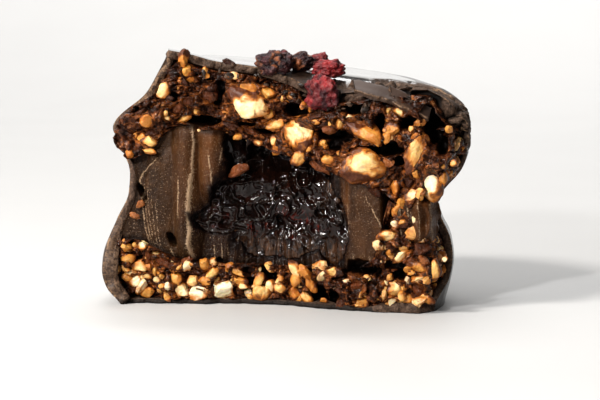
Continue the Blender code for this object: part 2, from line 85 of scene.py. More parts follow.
# Big nut pieces in the bite: x, height, length, width, tilt in degrees, tone (0 amber to 1 nearly
# white), strength of the brown stain, and the direction of the stained side in degrees.
UPPER_NUTS = (
    (-5.3, 33.3, 6.8, 4.5, -32, 0.84, 1, 100), (-5.4, 35.8, 3.5, 2.1, 0, 0.3, 0.5, 90),
    (-1.9, 31.9, 2, 2, 0, 0.48, 0.5, -90), (-1.7, 35.1, 3, 2.1, -15, 0.45, 0.4, 0),
    (-7.2, 38, 1.8, 1, -15, 0.75, 0.3, 0), (-15.4, 40.7, 1.7, 2.8, 0, 0.34, 0.7, 90),
    (-15.1, 38.8, 1.5, 1.8, 0, 0.5, 0.4, 0), (-14.3, 37.4, 1.5, 1, 0, 0.32, 0.5, 0),
    (-19, 35.4, 3.1, 2, 62, 0.8, 0.5, -60), (-12.2, 38.8, 1, 1.2, 0, 0.4, 0.4, 0),
    (-21.7, 30.6, 2.3, 2, 30, 0.36, 0.5, 180), (-18.3, 31, 1.5, 1, -50, 0.62, 0.3, 0),
    (-15.9, 30.7, 2.8, 1, 25, 0.5, 0.5, -90), (-13.5, 32.1, 1.2, 1.3, 0, 0.5, 0.4, 0),
    (-21.4, 27, 2.6, 1.5, -12, 0.56, 0.5, 180), (-23.1, 27.5, 1.7, 1.5, 0, 0.42, 0.5, 90),
    (-21.3, 25.4, 2.1, 1, -10, 0.46, 0.5, -90), (-0.6, 29.8, 2.8, 1.7, 12, 0.48, 0.6, -90),
    (-0.9, 27.4, 1.2, 1.8, 10, 0.62, 0.5, 90), (-3.6, 26.9, 1.5, 1, -30, 0.7, 0.6, 180),
    (3.7, 28.5, 5.4, 4.8, 55, 0.78, 0.7, -55), (3.6, 24.6, 3, 1.8, 38, 0.52, 0.6, 180),
    (8.8, 24.7, 2.3, 1.7, -25, 0.44, 0.6, -90), (10.7, 30.7, 1.5, 1.8, 20, 0.62, 0.5, 180),
    (14.8, 29.3, 6.3, 3.5, -38, 0.34, 0.9, 140), (14.6, 23.5, 6.6, 5.3, -18, 0.68, 1, -105),
    (23.4, 26.1, 6.1, 2.6, 62, 0.62, 0.8, 195), (26.1, 21.4, 5.3, 3, -78, 0.95, 0.5, 0),
    (28.1, 22.1, 1.5, 2, 0, 0.34, 0.6, 0), (22.7, 19.1, 2.3, 1.5, 48, 0.84, 0.4, -120),
    (18.9, 33, 1.2, 1.2, 0, 0.6, 0.4, 180), (20.6, 32.7, 2, 1.3, -20, 0.62, 0.5, 180),
    (19.4, 29.6, 2.5, 2.1, 60, 0.44, 0.7, 90), (19.3, 28.5, 1.3, 1.3, 0, 0.72, 0.4, 0),
    (22.8, 30, 1, 1.3, 0, 0.46, 0.5, 0), (29.8, 24.7, 1, 1, 0, 0.52, 0.4, 0),
    (28, 24.2, 0.8, 0.8, 0, 0.55, 0.4, 0),
    (19.9, 20.3, 1.5, 2.5, 0, 0.26, 0.5, 0), (24.4, 20.2, 1.2, 0.8, 0, 0.66, 0.3, 0),
)
LOWER_NUTS = (
    (-13.7, 1.1, 4, 2.6, 8, 0.98, 0.3, -90), (-15.9, 2.1, 2.8, 2.5, -20, 0.84, 0.4, 180),
    (-9.3, 2, 4, 3, 14, 1, 0.3, -90), (-11.4, 5, 3, 1.7, 30, 0.62, 0.6, 150),
    (-6.9, 5.3, 2.3, 1.2, -45, 0.52, 0.6, 90), (-6.4, 3.7, 2.3, 1.3, -10, 0.4, 0.5, 0),
    (-5.9, 2.8, 2, 1, -10, 0.72, 0.3, 0), (-3.3, 4, 2.5, 1.3, 68, 0.58, 0.5, 90),
    (-3.1, 1.4, 3.1, 2.6, 0, 0.64, 0.5, -90), (-1.6, 2.9, 2.1, 1.8, 42, 0.82, 0.3, 0),
    (0.4, 2.9, 2, 1.7, -20, 0.6, 0.5, 0), (2.9, 6.1, 2.8, 1.7, -58, 0.74, 0.5, 60),
    (2.7, 1.9, 2.1, 2, 0, 0.24, 0.6, -90), (5, 1.5, 2.3, 1.5, -45, 0.6, 0.4, -90),
    (5.5, 3.9, 3.1, 1.5, -60, 0.3, 0.6, 60), (9.2, 6.1, 2.3, 1.5, 0, 0.6, 0.6, 180),
    (14.9, 1.2, 2.3, 1.8, 20, 0.48, 0.5, -90), (14.3, 0, 1.5, 0.8, 0, 0.52, 0.4, 0),
    (-23, 6.3, 2.8, 2, -22, 0.66, 0.5, 120), (-22.3, 9.8, 1.8, 1.8, 40, 0.86, 0.4, -90),
    (-23.9, 3.8, 2, 1.7, 45, 0.88, 0.4, 180), (-21.8, 4.4, 1.5, 1, 0, 0.56, 0.4, 0),
    (-20.3, 3.9, 1.2, 1, 0, 0.84, 0.3, 0), (-20.3, 5.4, 1.3, 1.5, 0, 0.55, 0.5, 0),
    (-21.9, 2, 2.3, 1.8, 60, 0.5, 0.5, 90), (-16.7, 4.2, 2.1, 2, 0, 0.46, 0.5, 0),
    (-18.4, 1.1, 2.1, 1.3, -60, 0.48, 0.5, 0), (20.9, 16.8, 2, 1.8, 45, 0.24, 0.5, 0),
    (20, 14.5, 1.3, 1.5, 0, 0.88, 0.2, 0), (19, 12.6, 3.3, 1.8, 18, 0.72, 0.6, 180),
    (21.2, 9.2, 3, 1.3, 34, 0.76, 0.5, -60), (24, 7.6, 3.1, 1.7, -14, 0.46, 0.6, 90),
    (27, 7.5, 2.8, 1.7, 90, 0.56, 0.7, 0), (28.5, 9.1, 0.8, 0.8, 0, 0.92, 0.2, 0),
    (20.1, 3.8, 3.6, 2.3, -6, 0.66, 0.7, 180), (19.6, 1.7, 2, 1.3, 25, 0.92, 0.4, 180),
    (22.4, 2.2, 1.8, 1.5, 0, 0.36, 0.6, 0), (25.4, 2.3, 2.5, 1.3, -20, 0.42, 0.6, 0),
    (19, 0.2, 1, 1, 0, 0.48, 0.4, 0), (3.9, 0.1, 1.7, 1, 10, 0.45, 0.5, 0),
    (-4.8, 0.1, 1.7, 0.8, -10, 0.5, 0.5, 0), (7.9, 0.4, 1.3, 0.8, 0, 0.4, 0.5, 0),
)
# Chopped dates in the bite: x, height, length, width, tilt in degrees, tone (0 dark to 1 orange).
DATE_CHUNKS = (
    (-11.5, 34.7, 2.6, 2.3, 20, 0.45), (-19.1, 6.7, 3.1, 2.1, -20, 0.55), (13.9, 4, 2.8, 2.6, 70, 0.62),
    (24.5, 10.4, 3.3, 3, 60, 0.35), (7.2, 23.3, 4.1, 1.5, -30, 0.6), (-7, 22, 4.3, 2.1, 28, 0.62),
    (11.1, 0.7, 2.3, 2.1, 0, 0.4), (24.1, 3.7, 2.8, 2.1, 90, 0.6), (22.4, 21.4, 2, 2.3, 0, 0.25),
    (-8.4, 39.9, 2.3, 1.5, -20, 0.2), (-3.9, 35.3, 1.7, 1.5, 0, 0.35), (6.7, 31.8, 2.6, 1.7, 15, 0.3),
    (-14.5, 34, 2.3, 1.8, 40, 0.45), (-16.8, 32.6, 2.5, 1.7, 30, 0.5), (-20.8, 28.5, 2.8, 1.5, 20, 0.35),
    (17.2, 8.2, 2, 1.3, 0, 0.3), (-8.4, 29.8, 3.3, 1.2, -15, 0.35), (-4.8, 28.8, 3.6, 1, -25, 0.5),
    (-23.1, 16.5, 1.9, 1.2, 35, 0.85), (-23.9, 14.6, 1.9, 1, -15, 0.8),
)

# Deep holes in the bite: x, height, half width, half height, depth.
HOLES = (
    (2.9, 32.3, 1.8, 0.8, 4), (9.1, 28.7, 2.3, 0.8, 2.6), (12.9, 32.9, 1.7, 0.7, 3.5),
    (17.4, 30, 0.7, 1.8, 4.5), (17.4, 26.3, 3.3, 0.7, 4), (19.2, 27.3, 1, 0.7, 3),
    (22.4, 31.2, 1.3, 0.8, 3.5), (26.6, 30.0, 1.5, 1.8, 4.5), (20.7, 24.7, 0.8, 0.7, 3),
    (-12.5, 30.4, 2.3, 0.7, 3.5), (-17.4, 34.5, 0.7, 0.7, 3), (-9.8, 36, 0.8, 1, 2.4),
    (-12.7, 40.2, 1.5, 0.7, 2.4), (-2.7, 28.8, 1.5, 0.4, 3), (-5.7, 29.9, 1.7, 0.3, 2),
    (-10.2, 34.2, 0.7, 1, 1.8),
    (18.9, 15.8, 0.7, 2.1, 4), (-1.2, 4.5, 1, 0.8, 3), (7, 1.6, 1.2, 2, 3.4), (14.8, 6.6, 2.5, 0.7, 3.6),
    (25.6, 32.2, 1.0, 1.9, 4.5), (27.8, 27.4, 0.7, 1.3, 3.5), (27, 10.1, 0.7, 0.6, 3),
    (23.5, 11.7, 0.8, 0.5, 2.5), (21, 6, 1, 0.7, 2), (-24.5, 9.8, 0.4, 0.5, 2.5),
    (-18, 6.7, 0.7, 0.5, 2), (-23.1, 7.5, 0.8, 0.3, 2), (-22.7, 0.2, 2.3, 0.7, 2.4),
    (-20.4, 8.6, 0.7, 0.3, 1.8), (-5.3, 5.6, 0.7, 0.5, 2.4), (26.1, 17.6, 1, 0.7, 3),
)

# Folds of the caramel: a line of (height, x), half width, rise, lowest and highest.
FOLDS = (
    (((7, -15.0), (12.4, -15.3), (16.6, -15.4), (20.8, -15.5), (25.8, -15.2), (29.7, -14.8)),
     3.0, 2.1, 9, 31.0),
    (((17.8, -11.2), (20.8, -11.0), (25.7, -10.7), (29.4, -11.5)), 3.2, 2.7, 18.5, 30.8),
    (((9.9, -18.9), (17.4, -19.0), (24.1, -18.5)), 3.6, 1.1, 8, 26.5),
)

# Pale crests on the caramel, partly frosted specks and partly painted glints: a line of (height, x), half
# width, strength.
CRESTS = (
    (((5.4, -13.9), (7.8, -14.4), (10.3, -14.9), (12.7, -14.5), (15.0, -14.9), (18.7, -14.6),
      (21.6, -14.3)), 0.42, 1.0),
    (((21.6, -14.3), (23.7, -14.1), (26.1, -13.8), (27.7, -13.9), (29.4, -14.5)), 0.22, 0.9),
    (((20.0, -10.7), (22.5, -11.1), (25.4, -11.3)), 0.14, 0.8),
    (((20.0, -23.4), (21.7, -22.9), (22.8, -22.0), (23.6, -20.7), (24.1, -19.5)), 0.16, 0.9),
    (((23.7, -9.5), (26.7, -8.8), (28.7, -8.8)), 0.16, 0.6),
    (((14.5, -16.7), (16.5, -16.5), (21.1, -16.4)), 0.14, 0.7),
    (((7.0, -20.2), (8.5, -21.0), (12, -22.4), (16, -22.9), (20, -23.3)), 0.11, 0.8),
    (((8.3, -20.4), (11, -21.6), (15, -22.2), (19.5, -22.6)), 0.09, 0.7),
    (((8, -19.8), (10.5, -21.0), (14, -21.6), (19, -21.9)), 0.09, 0.6),
    (((7.6, -19.2), (9.5, -20.1), (13, -20.9), (18, -21.2)), 0.08, 0.6),
    (((9, -19.4), (12, -20.2), (17, -20.5)), 0.08, 0.5),
    (((6.8, -17.0), (9.2, -18.2)), 0.16, 0.7),
    (((6.6, -10.9), (9.6, -11.0)), 0.10, 0.8),
    (((6.9, -9.7), (9.6, -9.7)), 0.10, 0.7),
    (((7.8, -8.7), (9.5, -8.7)), 0.08, 0.6),
    (((7.5, 13.3), (9.3, 13.0)), 0.12, 0.6),
    (((13.7, 17.9), (16.9, 16.0)), 0.16, 0.8),
    (((7.3, 16.0), (8.9, 15.8)), 0.12, 0.6),
    (((9.1, 18.7), (11.0, 17.4)), 0.14, 0.7),
    (((16.8, 16.2), (18.8, 14.9)), 0.10, 0.6),
    (((12.5, 12.3), (17.5, 12.1)), 0.10, 0.5),
)

# Pores of the caramel: x, height, half width, half height.
PORES = ((-17.8, 10.6, 0.62, 1.15), (-10.0, 7.0, 0.44, 0.42), (-22.9, 18.3, 0.6, 1.5))

# The pulled caramel on the right: its middle and half sizes (x, height), its rim and its depth; then its
# strands: x, half width, how far out they stand.
PULLED_MIDDLE, PULLED_HALF, PULLED_RIM, PULLED_DEPTH = (23.4, 15.4), (3.9, 4.4), 1.05, 3.0
STRANDS = ((20.9, 0.65, 0.9), (22.2, 0.5, 0.5), (24.1, 1.0, 1.5), (25.9, 0.5, 0.9))

# The jam as blobs in the bite: x, height, half width, half height; then where its surface spreads from,
# how far past the blobs its rim lies, and its depth.
JAM_BLOBS = (
    (0.0, 18.9, 8.9, 8.6), (-9.2, 14.0, 5.2, 2.6), (-7.6, 16.8, 3.6, 3.6),
    (9.3, 12.4, 2.7, 5.6), (0.2, 12.4, 8.6, 4.6), (-7.4, 26.6, 1.7, 2.8),
)
JAM_MIDDLE, JAM_RIM, JAM_DEPTH = (-1.6, 16.4), 1.22, 5.5

# Dried berry pieces: x, y, height of the middle, half sizes, turn in degrees, tone (0 dull maroon to
# 1 bright red). Then how many drupelets each has, and the half angle of one.
BERRIES = (
    (-0.9, -3.2, 40.0, (2.9, 2.3, 2.1), 20, 0.20),
    (3.0, 0.2, 40.1, (2.2, 2.0, 1.7), -30, 0.08),
    (8.0, -2.0, 39.1, (2.8, 2.0, 1.6), 8, 0.86),
    (7.9, -6.6, 35.5, (3.1, 2.2, 2.9), -25, 0.68),
    (-1.4, 5.0, 40.2, (2.3, 1.9, 1.6), 70, 0.5),
    (5.0, 6.0, 39.8, (1.9, 2.2, 1.5), 15, 0.7),
)

DRUPELETS, DRUPELET_ANGLE = 60, 0.29

# Broken plates of the coat that have tipped forward: size, middle, tilt forward and fall to the right
# in degrees. The coat is set back where they snapped off.
SNAPPED_PLATE = (10.4, 3.0, 0.95), (18.2, -7.9, 35.5), 32, 18
SMALL_PLATE = (7.2, 2.8, 0.9), (22.6, -7.9, 34.0), 46, 26
PLATE_BEND, NOTCH_X, NOTCH_DEPTH = 0.018, 18.6, 3.4

# Flakes of the coat: x and height of the large ones, and how many small ones there are.
LARGE_FLAKES, SMALL_FLAKES = ((15.2, 33.2), (10.2, 35.0), (4.2, 36.6), (-8.0, 38.0)), 46

# The small chopped bits: where their grid starts and ends in x, how far they are moved on it as a share
# of their spacing, the angle in degrees past which an edge is sharp, how many lie on the bare wall, and
# how their tones are spread: middle, spread, least and most.
CHIP_RANGE, CHIP_JITTER, CHIP_CREASE, WALL_CHIPS = (-27.5, 28.5), 0.42, 38, 80
PALE, GOLDEN, DATE = (0.72, 0.24, 0.1, 1), (0.38, 0.24, 0, 0.95), (0.45, 0.25, 0, 1)


# --- Sums that every shape uses ---


def smooth(low, high, value):
    """0 below low, 1 above high, an S-curve between. low may be above high."""
    share = np.clip((value - low) / (high - low), 0, 1)
    return share * share * (3 - 2 * share)


def bump(value, centre, half):
    """A bell of height 1 at centre, down to about a third at half away."""
    return np.exp(-(((value - centre) / half) ** 2))


def corner_value(i, j, k, seed):
    """A repeatable number from -1 to 1 for each corner of a lattice."""
    mixed = (i * 73856093) ^ (j * 19349663) ^ (k * 83492791) ^ (seed * 49979687)
    mixed = ((mixed ^ (mixed >> 13)) * 1274126177) & 0x7FFFFFFF
    mixed = ((mixed ^ (mixed >> 15)) * 668265263) & 0x7FFFFFFF
    return (mixed & 0xFFFFFF) / 0x7FFFFF - 1


def noise(x, y, z, seed):
    """Smooth noise from -1 to 1 on a lattice of unit cells."""
    place = np.stack(np.broadcast_arrays(x, y, z)).astype(float)
    cell = np.floor(place)
    share = place - cell
    share = share * share * (3 - 2 * share)
    i, j, k = cell.astype(np.int64)
    total = 0
    for di in (0, 1):
        for dj in (0, 1):
            for dk in (0, 1):
                near = np.array([1 - di, 1 - dj, 1 - dk]).reshape(3, *[1] * (share.ndim - 1))
                weight = np.prod(np.abs(near - share), axis=0)
                total = total + weight * corner_value(i + di, j + dj, k + dk, seed)
    return total


def layers_of_noise(x, y, z, seed, octaves=3):
    """Noise with finer and weaker noise added: each octave has half the cell and half the height."""
    return sum(noise(x * 2**n, y * 2**n, z * 2**n, seed + n) / 2**n for n in range(octaves))


def clumps(x, z, seed):
    """Scattered cell points on a unit grid: the distance to the nearest, how far the second one is
    beyond it, and a number from -1 to 1 that belongs to the nearest."""
    i, j = np.floor(x).astype(np.int64), np.floor(z).astype(np.int64)
    first = np.full(np.shape(x), 9.0)
    second = np.full(np.shape(x), 9.0)
    own = np.zeros(np.shape(x))
    for di in (-1, 0, 1):
        for dj in (-1, 0, 1):
            px = i + di + 0.5 + 0.45 * corner_value(i + di, j + dj, 0, seed)
            pz = j + dj + 0.5 + 0.45 * corner_value(i + di, j + dj, 1, seed)
            away = np.hypot(px - x, pz - z)
            nearer = away < first
            second = np.where(nearer, first, np.minimum(second, away))
            own = np.where(nearer, corner_value(i + di, j + dj, 2, seed), own)
            first = np.minimum(first, away)
    return first, second - first, own


def curve(table, value):
    """A softly rounded line through a table of (place, number) pairs."""
    place, number = np.array(table, float).T
    grid = np.linspace(place[0] - 2, place[-1] + 2, 241)
    line = np.interp(grid, place, number)
    width = max(3, round(2.4 / (grid[1] - grid[0])))
    weight = np.hanning(2 * width + 1)
    line = np.convolve(np.pad(line, width, mode="edge"), weight / weight.sum(), "valid")
    return np.interp(value, grid, line)


def axis_shift(z):
    """The wall's axis runs to the right from the lower biscuit to the upper one, in an S-curve."""
    return LOWER_SHIFT + (UPPER_SHIFT - LOWER_SHIFT) * smooth(13, 23, z)


def top_height(x, y):
    """The outside of the coat's top before its rounded edge: a slope that turns into the bite's outline
    towards the front, lower behind the berries, with slow waves."""
    whole = TOP_HEIGHT + TOP_SLOPE * x
    front = curve(FRONT_TOP, x) - FRONT_DROP * bump(x, FRONT_DROP_X, FRONT_DROP_HALF) * smooth(2, -6, y)
    waves = 0.35 * noise(x / 11, y / 11, 0.5, 3)
    return whole + (front - whole) * smooth(9, -3, y) + waves


def wall_radius(angle, z):
    """From the axis to the outside of the coat at that height: the outlines of the right, back and left
    walls blended round the axis, less a round edge near the top, with slow waves."""
    top = top_height(28 * np.cos(angle), 28 * np.sin(angle))
    edge = np.clip((z - TOP_EDGE_START) / (top - TOP_EDGE_START), 0, 1)
    rounding = TOP_EDGE * (1 - np.sqrt(1 - edge**2))
    to_right = smooth(0.25, 0.95, np.cos(angle))
    to_left = smooth(math.radians(128), math.radians(176), angle)
    back = curve(BACK_WALL, z) - rounding
    right = curve(RIGHT_WALL, z) - rounding
    waves = 0.35 * noise(3.2 * np.cos(angle), 3.2 * np.sin(angle), z / 9, 7)
    return back + (right - back) * to_right + (curve(LEFT_WALL, z) - back) * to_left + waves


def coat_thickness(angle, z):
    """One thickness, with a bell added at the right shoulder, where the coat ran together, and one taken
    off just below it."""
    to_right = smooth(0.5, 0.95, np.cos(angle))
    return COAT_THICKNESS + to_right * (COAT_THICK_END * bump(z, 33.2, 3.4) - 0.55 * bump(z, 22.5, 4.5))


def swelling(angle, z):
    """The crumb bulges out high on the left, where the coat has come off."""
    return 0.45 * smooth(math.radians(187), math.radians(191), angle) * smooth(23, 26, z) * smooth(34, 31, z)


def nearness_to_wall(x, y):
    """0 in the middle of a layer, rising in an S-curve to 1 at its edge."""
    return smooth(0.62, 1.0, np.hypot(x, y) / LAYER_RADIUS)


def lower_biscuit_top(x, y):
    """The lower biscuit cups up at the wall, most of all on the right."""
    cup = CUP_RISE + CUP_RISE_RIGHT * np.clip(x / LAYER_RADIUS, -1, 1)
    return LOWER_BISCUIT_TOP + 0.5 * noise(x / 4, y / 4, 0.5, 11) + cup * nearness_to_wall(x, y)


def upper_biscuit_base(x, y):
    """The upper biscuit hangs lowest on the right, turns down at the wall, and sags at the left end of
    the bite."""
    sag = 2.4 * smooth(-17.6, -20.2, x) * smooth(2, -4, y)
    drop = RIM_DROP + RIM_DROP_LEFT * np.clip(-x / LAYER_RADIUS, 0, 1) + sag
    waves = 0.6 * noise(x / 4, y / 4, 0.5, 13)
    return UPPER_BISCUIT_BASE + UPPER_BISCUIT_SLOPE * x + waves - drop * nearness_to_wall(x, y)


def bite_y(x):
    """The bitten face before any relief: a line from side to side, hollowed by a bell in the middle."""
    return BITE_END_Y + BITE_SKEW * x + BITE_HOLLOW * bump(x, BITE_CENTRE_X, BITE_HALF)


def biscuit_relief(x, z):
    """Broad unevenness of the bitten biscuits: noise of two sizes."""
    return 1.2 * noise(x / 4.2, z / 3.4, 0.5, 17) + 0.7 * noise(x / 1.9, z / 1.7, 0.5, 19)


def caramel_relief(x, z):
    """Upright ridges that teeth drag in soft caramel."""
    lean = x + 0.09 * (z - 16) * np.sign(x)
    return 1.1 * noise(lean / 3.1, z / 26, 0.5, 23) + 0.6 * noise(lean / 1.6, z / 15, 0.5, 29)


def hollows(x, z):
    """Depth of the holes in the crumb: the deep ones that can be told apart, and scattered ones where a
    slow noise is high."""
    total = 2.0 * smooth(0.34, 0.66, noise(x / 2.4, z / 1.9, 0.5, 57))
    for hole_x, hole_z, half_x, half_z, depth in HOLES:
        away = np.hypot((x - hole_x) / half_x, (z - hole_z) / half_z)
        total = total + depth * smooth(1.5, 0.7, away + 0.35 * noise(x / 0.8, z / 0.8, 0.5, 58))
    return total


def crumb_relief(x, z):
    """Broken crumb: noise of three sizes bent by more noise, thin winding cracks where another noise
    passes through zero, domed clumps, and the holes."""
    bent_x = x + 0.8 * noise(x / 1.7, z / 1.7, 0.5, 51)
    bent_z = z + 0.8 * noise(x / 1.7, z / 1.7, 0.5, 52)
    crags = 0.75 * layers_of_noise(bent_x / 2.6, bent_z / 2.2, 0.5, 53, 3)
    cracks = 0.9 * smooth(0.86, 1.0, 1 - np.abs(layers_of_noise(bent_x / 2.2, bent_z / 1.9, 0.5, 60, 2)))
    away, edge, own = clumps(bent_x / 1.4, bent_z / 1.2, 54)
    domes = 0.35 * own + 0.45 * away**2 + 0.35 * smooth(0.14, 0, edge)
    return crags + cracks + domes - 0.35 + hollows(x, z) + 0.5 * smooth(2.4, 1.2, z)


def seats(x, z):
    """1 inside the big pieces and 0 away from them, and 1 on the ring of paste that is piled round them."""
    inside, ring = np.zeros(np.shape(x)), np.zeros(np.shape(x))
    for piece_x, piece_z, length, width, tilt, *_ in UPPER_NUTS + LOWER_NUTS + DATE_CHUNKS:
        ct, st = math.cos(math.radians(tilt)), math.sin(math.radians(tilt))
        along, over = (x - piece_x) * ct + (z - piece_z) * st, (z - piece_z) * ct - (x - piece_x) * st
        away = np.hypot(along / (0.5 * length), over / (0.5 * width))
        inside = np.maximum(inside, smooth(1.15, 0.75, away))
        ring = np.maximum(ring, bump(away, 1.16, 0.30) * min(1, width / 2))
    return inside, ring


def bite_crumb(x, z):
    """The crumb's relief in the bite: pressed in where a big piece sits, piled up round it."""
    inside, ring = seats(x, z)
    return crumb_relief(x, z) * (1 - 0.85 * inside) + 0.25 * inside - 0.45 * ring


# --- Meshes ---


def grid_faces(rows, columns, wrap=False, first=0):
    """Quads between the points of a grid that is kept row by row."""
    index = first + np.arange(rows * columns).reshape(rows, columns)
    if wrap:
        index = np.hstack([index, index[:, :1]])
    corners = (index[:-1, :-1], index[:-1, 1:], index[1:, 1:], index[1:, :-1])
    return np.stack([corner.ravel() for corner in corners], axis=1)


def fan_faces(centre, ring):
    """Triangles from one point to a closed ring of points."""
    return np.column_stack([np.full(len(ring), centre), ring, np.roll(ring, -1)])


def capped_rings(grid):
    """Points and faces of a closed surface: a stack of rings with a point in the middle of each end."""
    rows, columns = grid.shape[:2]
    points = np.vstack([grid.reshape(-1, 3), grid[0].mean(axis=0), grid[-1].mean(axis=0)])
    ring = np.arange(columns)
    faces = [
        grid_faces(rows, columns, wrap=True),
        fan_faces(rows * columns, ring),
        fan_faces(rows * columns + 1, ring + (rows - 1) * columns),
    ]
    return points, faces


def with_ends(values, end=0.0):
    """Numbers for the points of capped_rings: the grid's, then one for the middle of each end."""
    return np.append(np.ravel(values), [end, end])


def make(name, points, faces, finish, slot=None, nodes=(), weld=0.0, crease=0, **tags):
    """A piece of the cake from points in millimetres, none below the floor or beyond the front limit. Each
    tag is a number for every point. A piece without a slot isn't part of the cake."""
    if slot:
        points = np.maximum(points, (-np.inf, FRONT_LIMIT, FLOOR_LIMIT))
    mesh = bpy.data.meshes.new(name)
    lists = [row for block in faces for row in block.tolist()]
    mesh.from_pydata(((points + SHIFT) * MM).tolist(), [], lists)
    for tag, values in tags.items():
        layer = mesh.attributes.new(tag, "FLOAT", "POINT")
        layer.data.foreach_set("value", np.ravel(values).astype(np.float32))
    shape = bmesh.new()
    shape.from_mesh(mesh)
    if weld:
        bmesh.ops.remove_doubles(shape, verts=shape.verts, dist=weld * MM)
    bmesh.ops.recalc_face_normals(shape, faces=shape.faces)
    shape.to_mesh(mesh)
    shape.free()
    mesh.polygons.foreach_set("use_smooth", [True] * len(mesh.polygons))
    if crease:
        mesh.set_sharp_from_angle(angle=math.radians(crease))
    mesh.materials.append(finish)
    piece = bpy.data.objects.new(name, mesh)
    bpy.context.scene.collection.objects.link(piece)
    if slot:
        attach(piece, "root")
        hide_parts(*nodes)
    return piece


# --- Finishes ---


class Number:
    """A number in a material that can be used in sums. Each sum adds a Math node."""

    def __init__(self, finish, socket):
        self.finish = finish
        self.socket = socket

    def sum(self, operation, first, second=0.0):
        node = self.finish.node("ShaderNodeMath", {"operation": operation}, {0: first, 1: second})
        return Number(self.finish, node.outputs[0])

    def __add__(self, other):
        return self.sum("ADD", self, other)

    def __sub__(self, other):
        return self.sum("SUBTRACT", self, other)

    def __rsub__(self, other):
        return self.sum("SUBTRACT", other, self)

    def __mul__(self, other):
        return self.sum("MULTIPLY", self, other)

    def most(self, other):
        return self.sum("MAXIMUM", self, other)

    def step(self, low, high):
        """0 below low, 1 above high, an S-curve between."""
        node = self.finish.node(
            "ShaderNodeMapRange", {"interpolation_type": "SMOOTHSTEP"},
            {"Value": self, "From Min": low, "From Max": high},
        )
        return Number(self.finish, node.outputs[0])

    __radd__ = __add__
    __rmul__ = __mul__


class Finish:
    """A material whose patterns are laid out in millimetres."""

    def __init__(self, name, **constants):
        self.material = bpy.data.materials.new(name)
        self.material.use_nodes = True
        self.tree = self.material.node_tree
        self.shader = self.tree.nodes["Principled BSDF"]
        for key, value in constants.items():
            self.shader.inputs[key.replace("_", " ")].default_value = value
        self.place = self.node("ShaderNodeTexCoord").outputs["Object"]

    def node(self, kind, settings=None, values=None):
        """Adds a node, sets its settings, then gives its sockets their values or links."""
        made = self.tree.nodes.new(kind)
        for key, value in (settings or {}).items():
            setattr(made, key, value)
        for key, value in (values or {}).items():
            value = value.socket if isinstance(value, Number) else value
            if isinstance(value, bpy.types.NodeSocket):
                self.tree.links.new(value, made.inputs[key])
            else:
                made.inputs[key].default_value = value
        return made

    def stretched(self, x, y, z):
        """Object coordinates whose patterns are drawn out x, y and z times as long."""
        values = {"Vector": self.place, "Scale": (1 / x, 1 / y, 1 / z)}
        return self.node("ShaderNodeMapping", None, values).outputs[0]

    def cloud(self, size, detail=3.0, distortion=0.0, place=None):
        """Noise from 0 to 1 with patches of that size."""
        values = {"Vector": place or self.place, "Scale": 1 / (size * MM)}
        values.update(Detail=detail, Distortion=distortion)
        return Number(self, self.node("ShaderNodeTexNoise", None, values).outputs[0])

    def cells(self, size):
        """A node of scattered cells of that size."""
        return self.node("ShaderNodeTexVoronoi", None, {"Vector": self.place, "Scale": 1 / (size * MM)})

    def tag(self, name):
        """A number that the mesh carries for each point."""
        return Number(self, self.node("ShaderNodeAttribute", {"attribute_name": name}).outputs["Fac"])

    def ramp(self, value, stops):
        """A colour that runs through the stops, each a place and a colour."""
        made = self.node("ShaderNodeValToRGB", None, {"Fac": value})
        elements = made.color_ramp.elements
        while len(elements) < len(stops):
            elements.new(0.5)
        for element, (place, colour) in zip(elements, stops):
            element.position = place
            element.color = (*colour, 1)
        return made.outputs[0]

    def blend(self, share, first, second):
        """first turning into second by share."""
        first, second = ((*c, 1) if isinstance(c, tuple) else c for c in (first, second))
        return self.node("ShaderNodeMix", {"data_type": "RGBA"}, {0: share, 6: first, 7: second}).outputs[2]

    def relief(self, height, depth, below=None):
        """A bump whose height from 0 to 1 stands for depth millimetres."""
        values = {"Height": height, "Distance": depth * MM}
        if below:
            values["Normal"] = below
        return self.node("ShaderNodeBump", None, values).outputs[0]

    def wear(self, **inputs):
        """Links what varies to the shader's own sockets, and gives the material."""
        for key, value in inputs.items():
            socket = value.socket if isinstance(value, Number) else value
            self.tree.links.new(socket, self.shader.inputs[key.replace("_", " ")])
        return self.material


def chocolate_finish():
    """Near-black glossy chocolate outside, and matte grainy brown where it is broken. The deep tag paints
    its cracks, holes and shaded foot nearly black as painted shade; the plate tag gives a snapped plate
    its smooth brown, and is painted light on the lower left of the wall."""
    look = Finish("dark_chocolate", Specular_IOR_Level=0.35)
    broken, line, deep, plate = map(look.tag, ("broken", "line", "deep", "plate"))
    mottle = look.cloud(5.0, 4.0)
    grit = look.cloud(0.28, 5.0)
    flecks = look.cloud(0.8, 5.0, 0.6)
    sugar = Number(look, look.cells(0.45).outputs["Distance"])
    outside = look.blend(mottle, (0.011, 0.0070, 0.0052), (0.026, 0.017, 0.0125))
    snapped = look.ramp(grit * 0.55 + flecks * 0.45, (
        (0.33, (0.024, 0.0130, 0.0077)), (0.5, (0.078, 0.045, 0.028)), (0.66, (0.165, 0.104, 0.070)),
    ))
    # plate: a snapped plate's own smooth brown; on the lower left of the wall it is painted light.
    colour = look.blend(plate, outside, look.blend(flecks, (0.040, 0.0225, 0.0150), (0.062, 0.036, 0.0245)))
    colour = look.blend(broken, colour, snapped)
    colour = look.blend(line * (grit + flecks).step(0.85, 1.15), colour, (0.42, 0.26, 0.145))
    # Painted shade: near black where the deep tag marks cracks, holes, the cave and the shaded foot.
    colour = look.blend(deep, colour, (0.004, 0.0024, 0.0017))
    roughness = 0.15 + 0.15 * mottle + broken * (0.40 + 0.15 * grit) + 0.22 * plate
    waves = look.relief(look.cloud(7.0, 2.0), 0.5)
    fine = look.relief(look.cloud(1.2, 3.0) * (1 - broken), 0.035, waves)
    grain = look.relief((grit + 0.5 * sugar + flecks) * broken, 0.22, fine)
    return look.wear(Base_Color=colour, Roughness=roughness, Coat_Weight=look.tag("sheen"), Normal=grain)


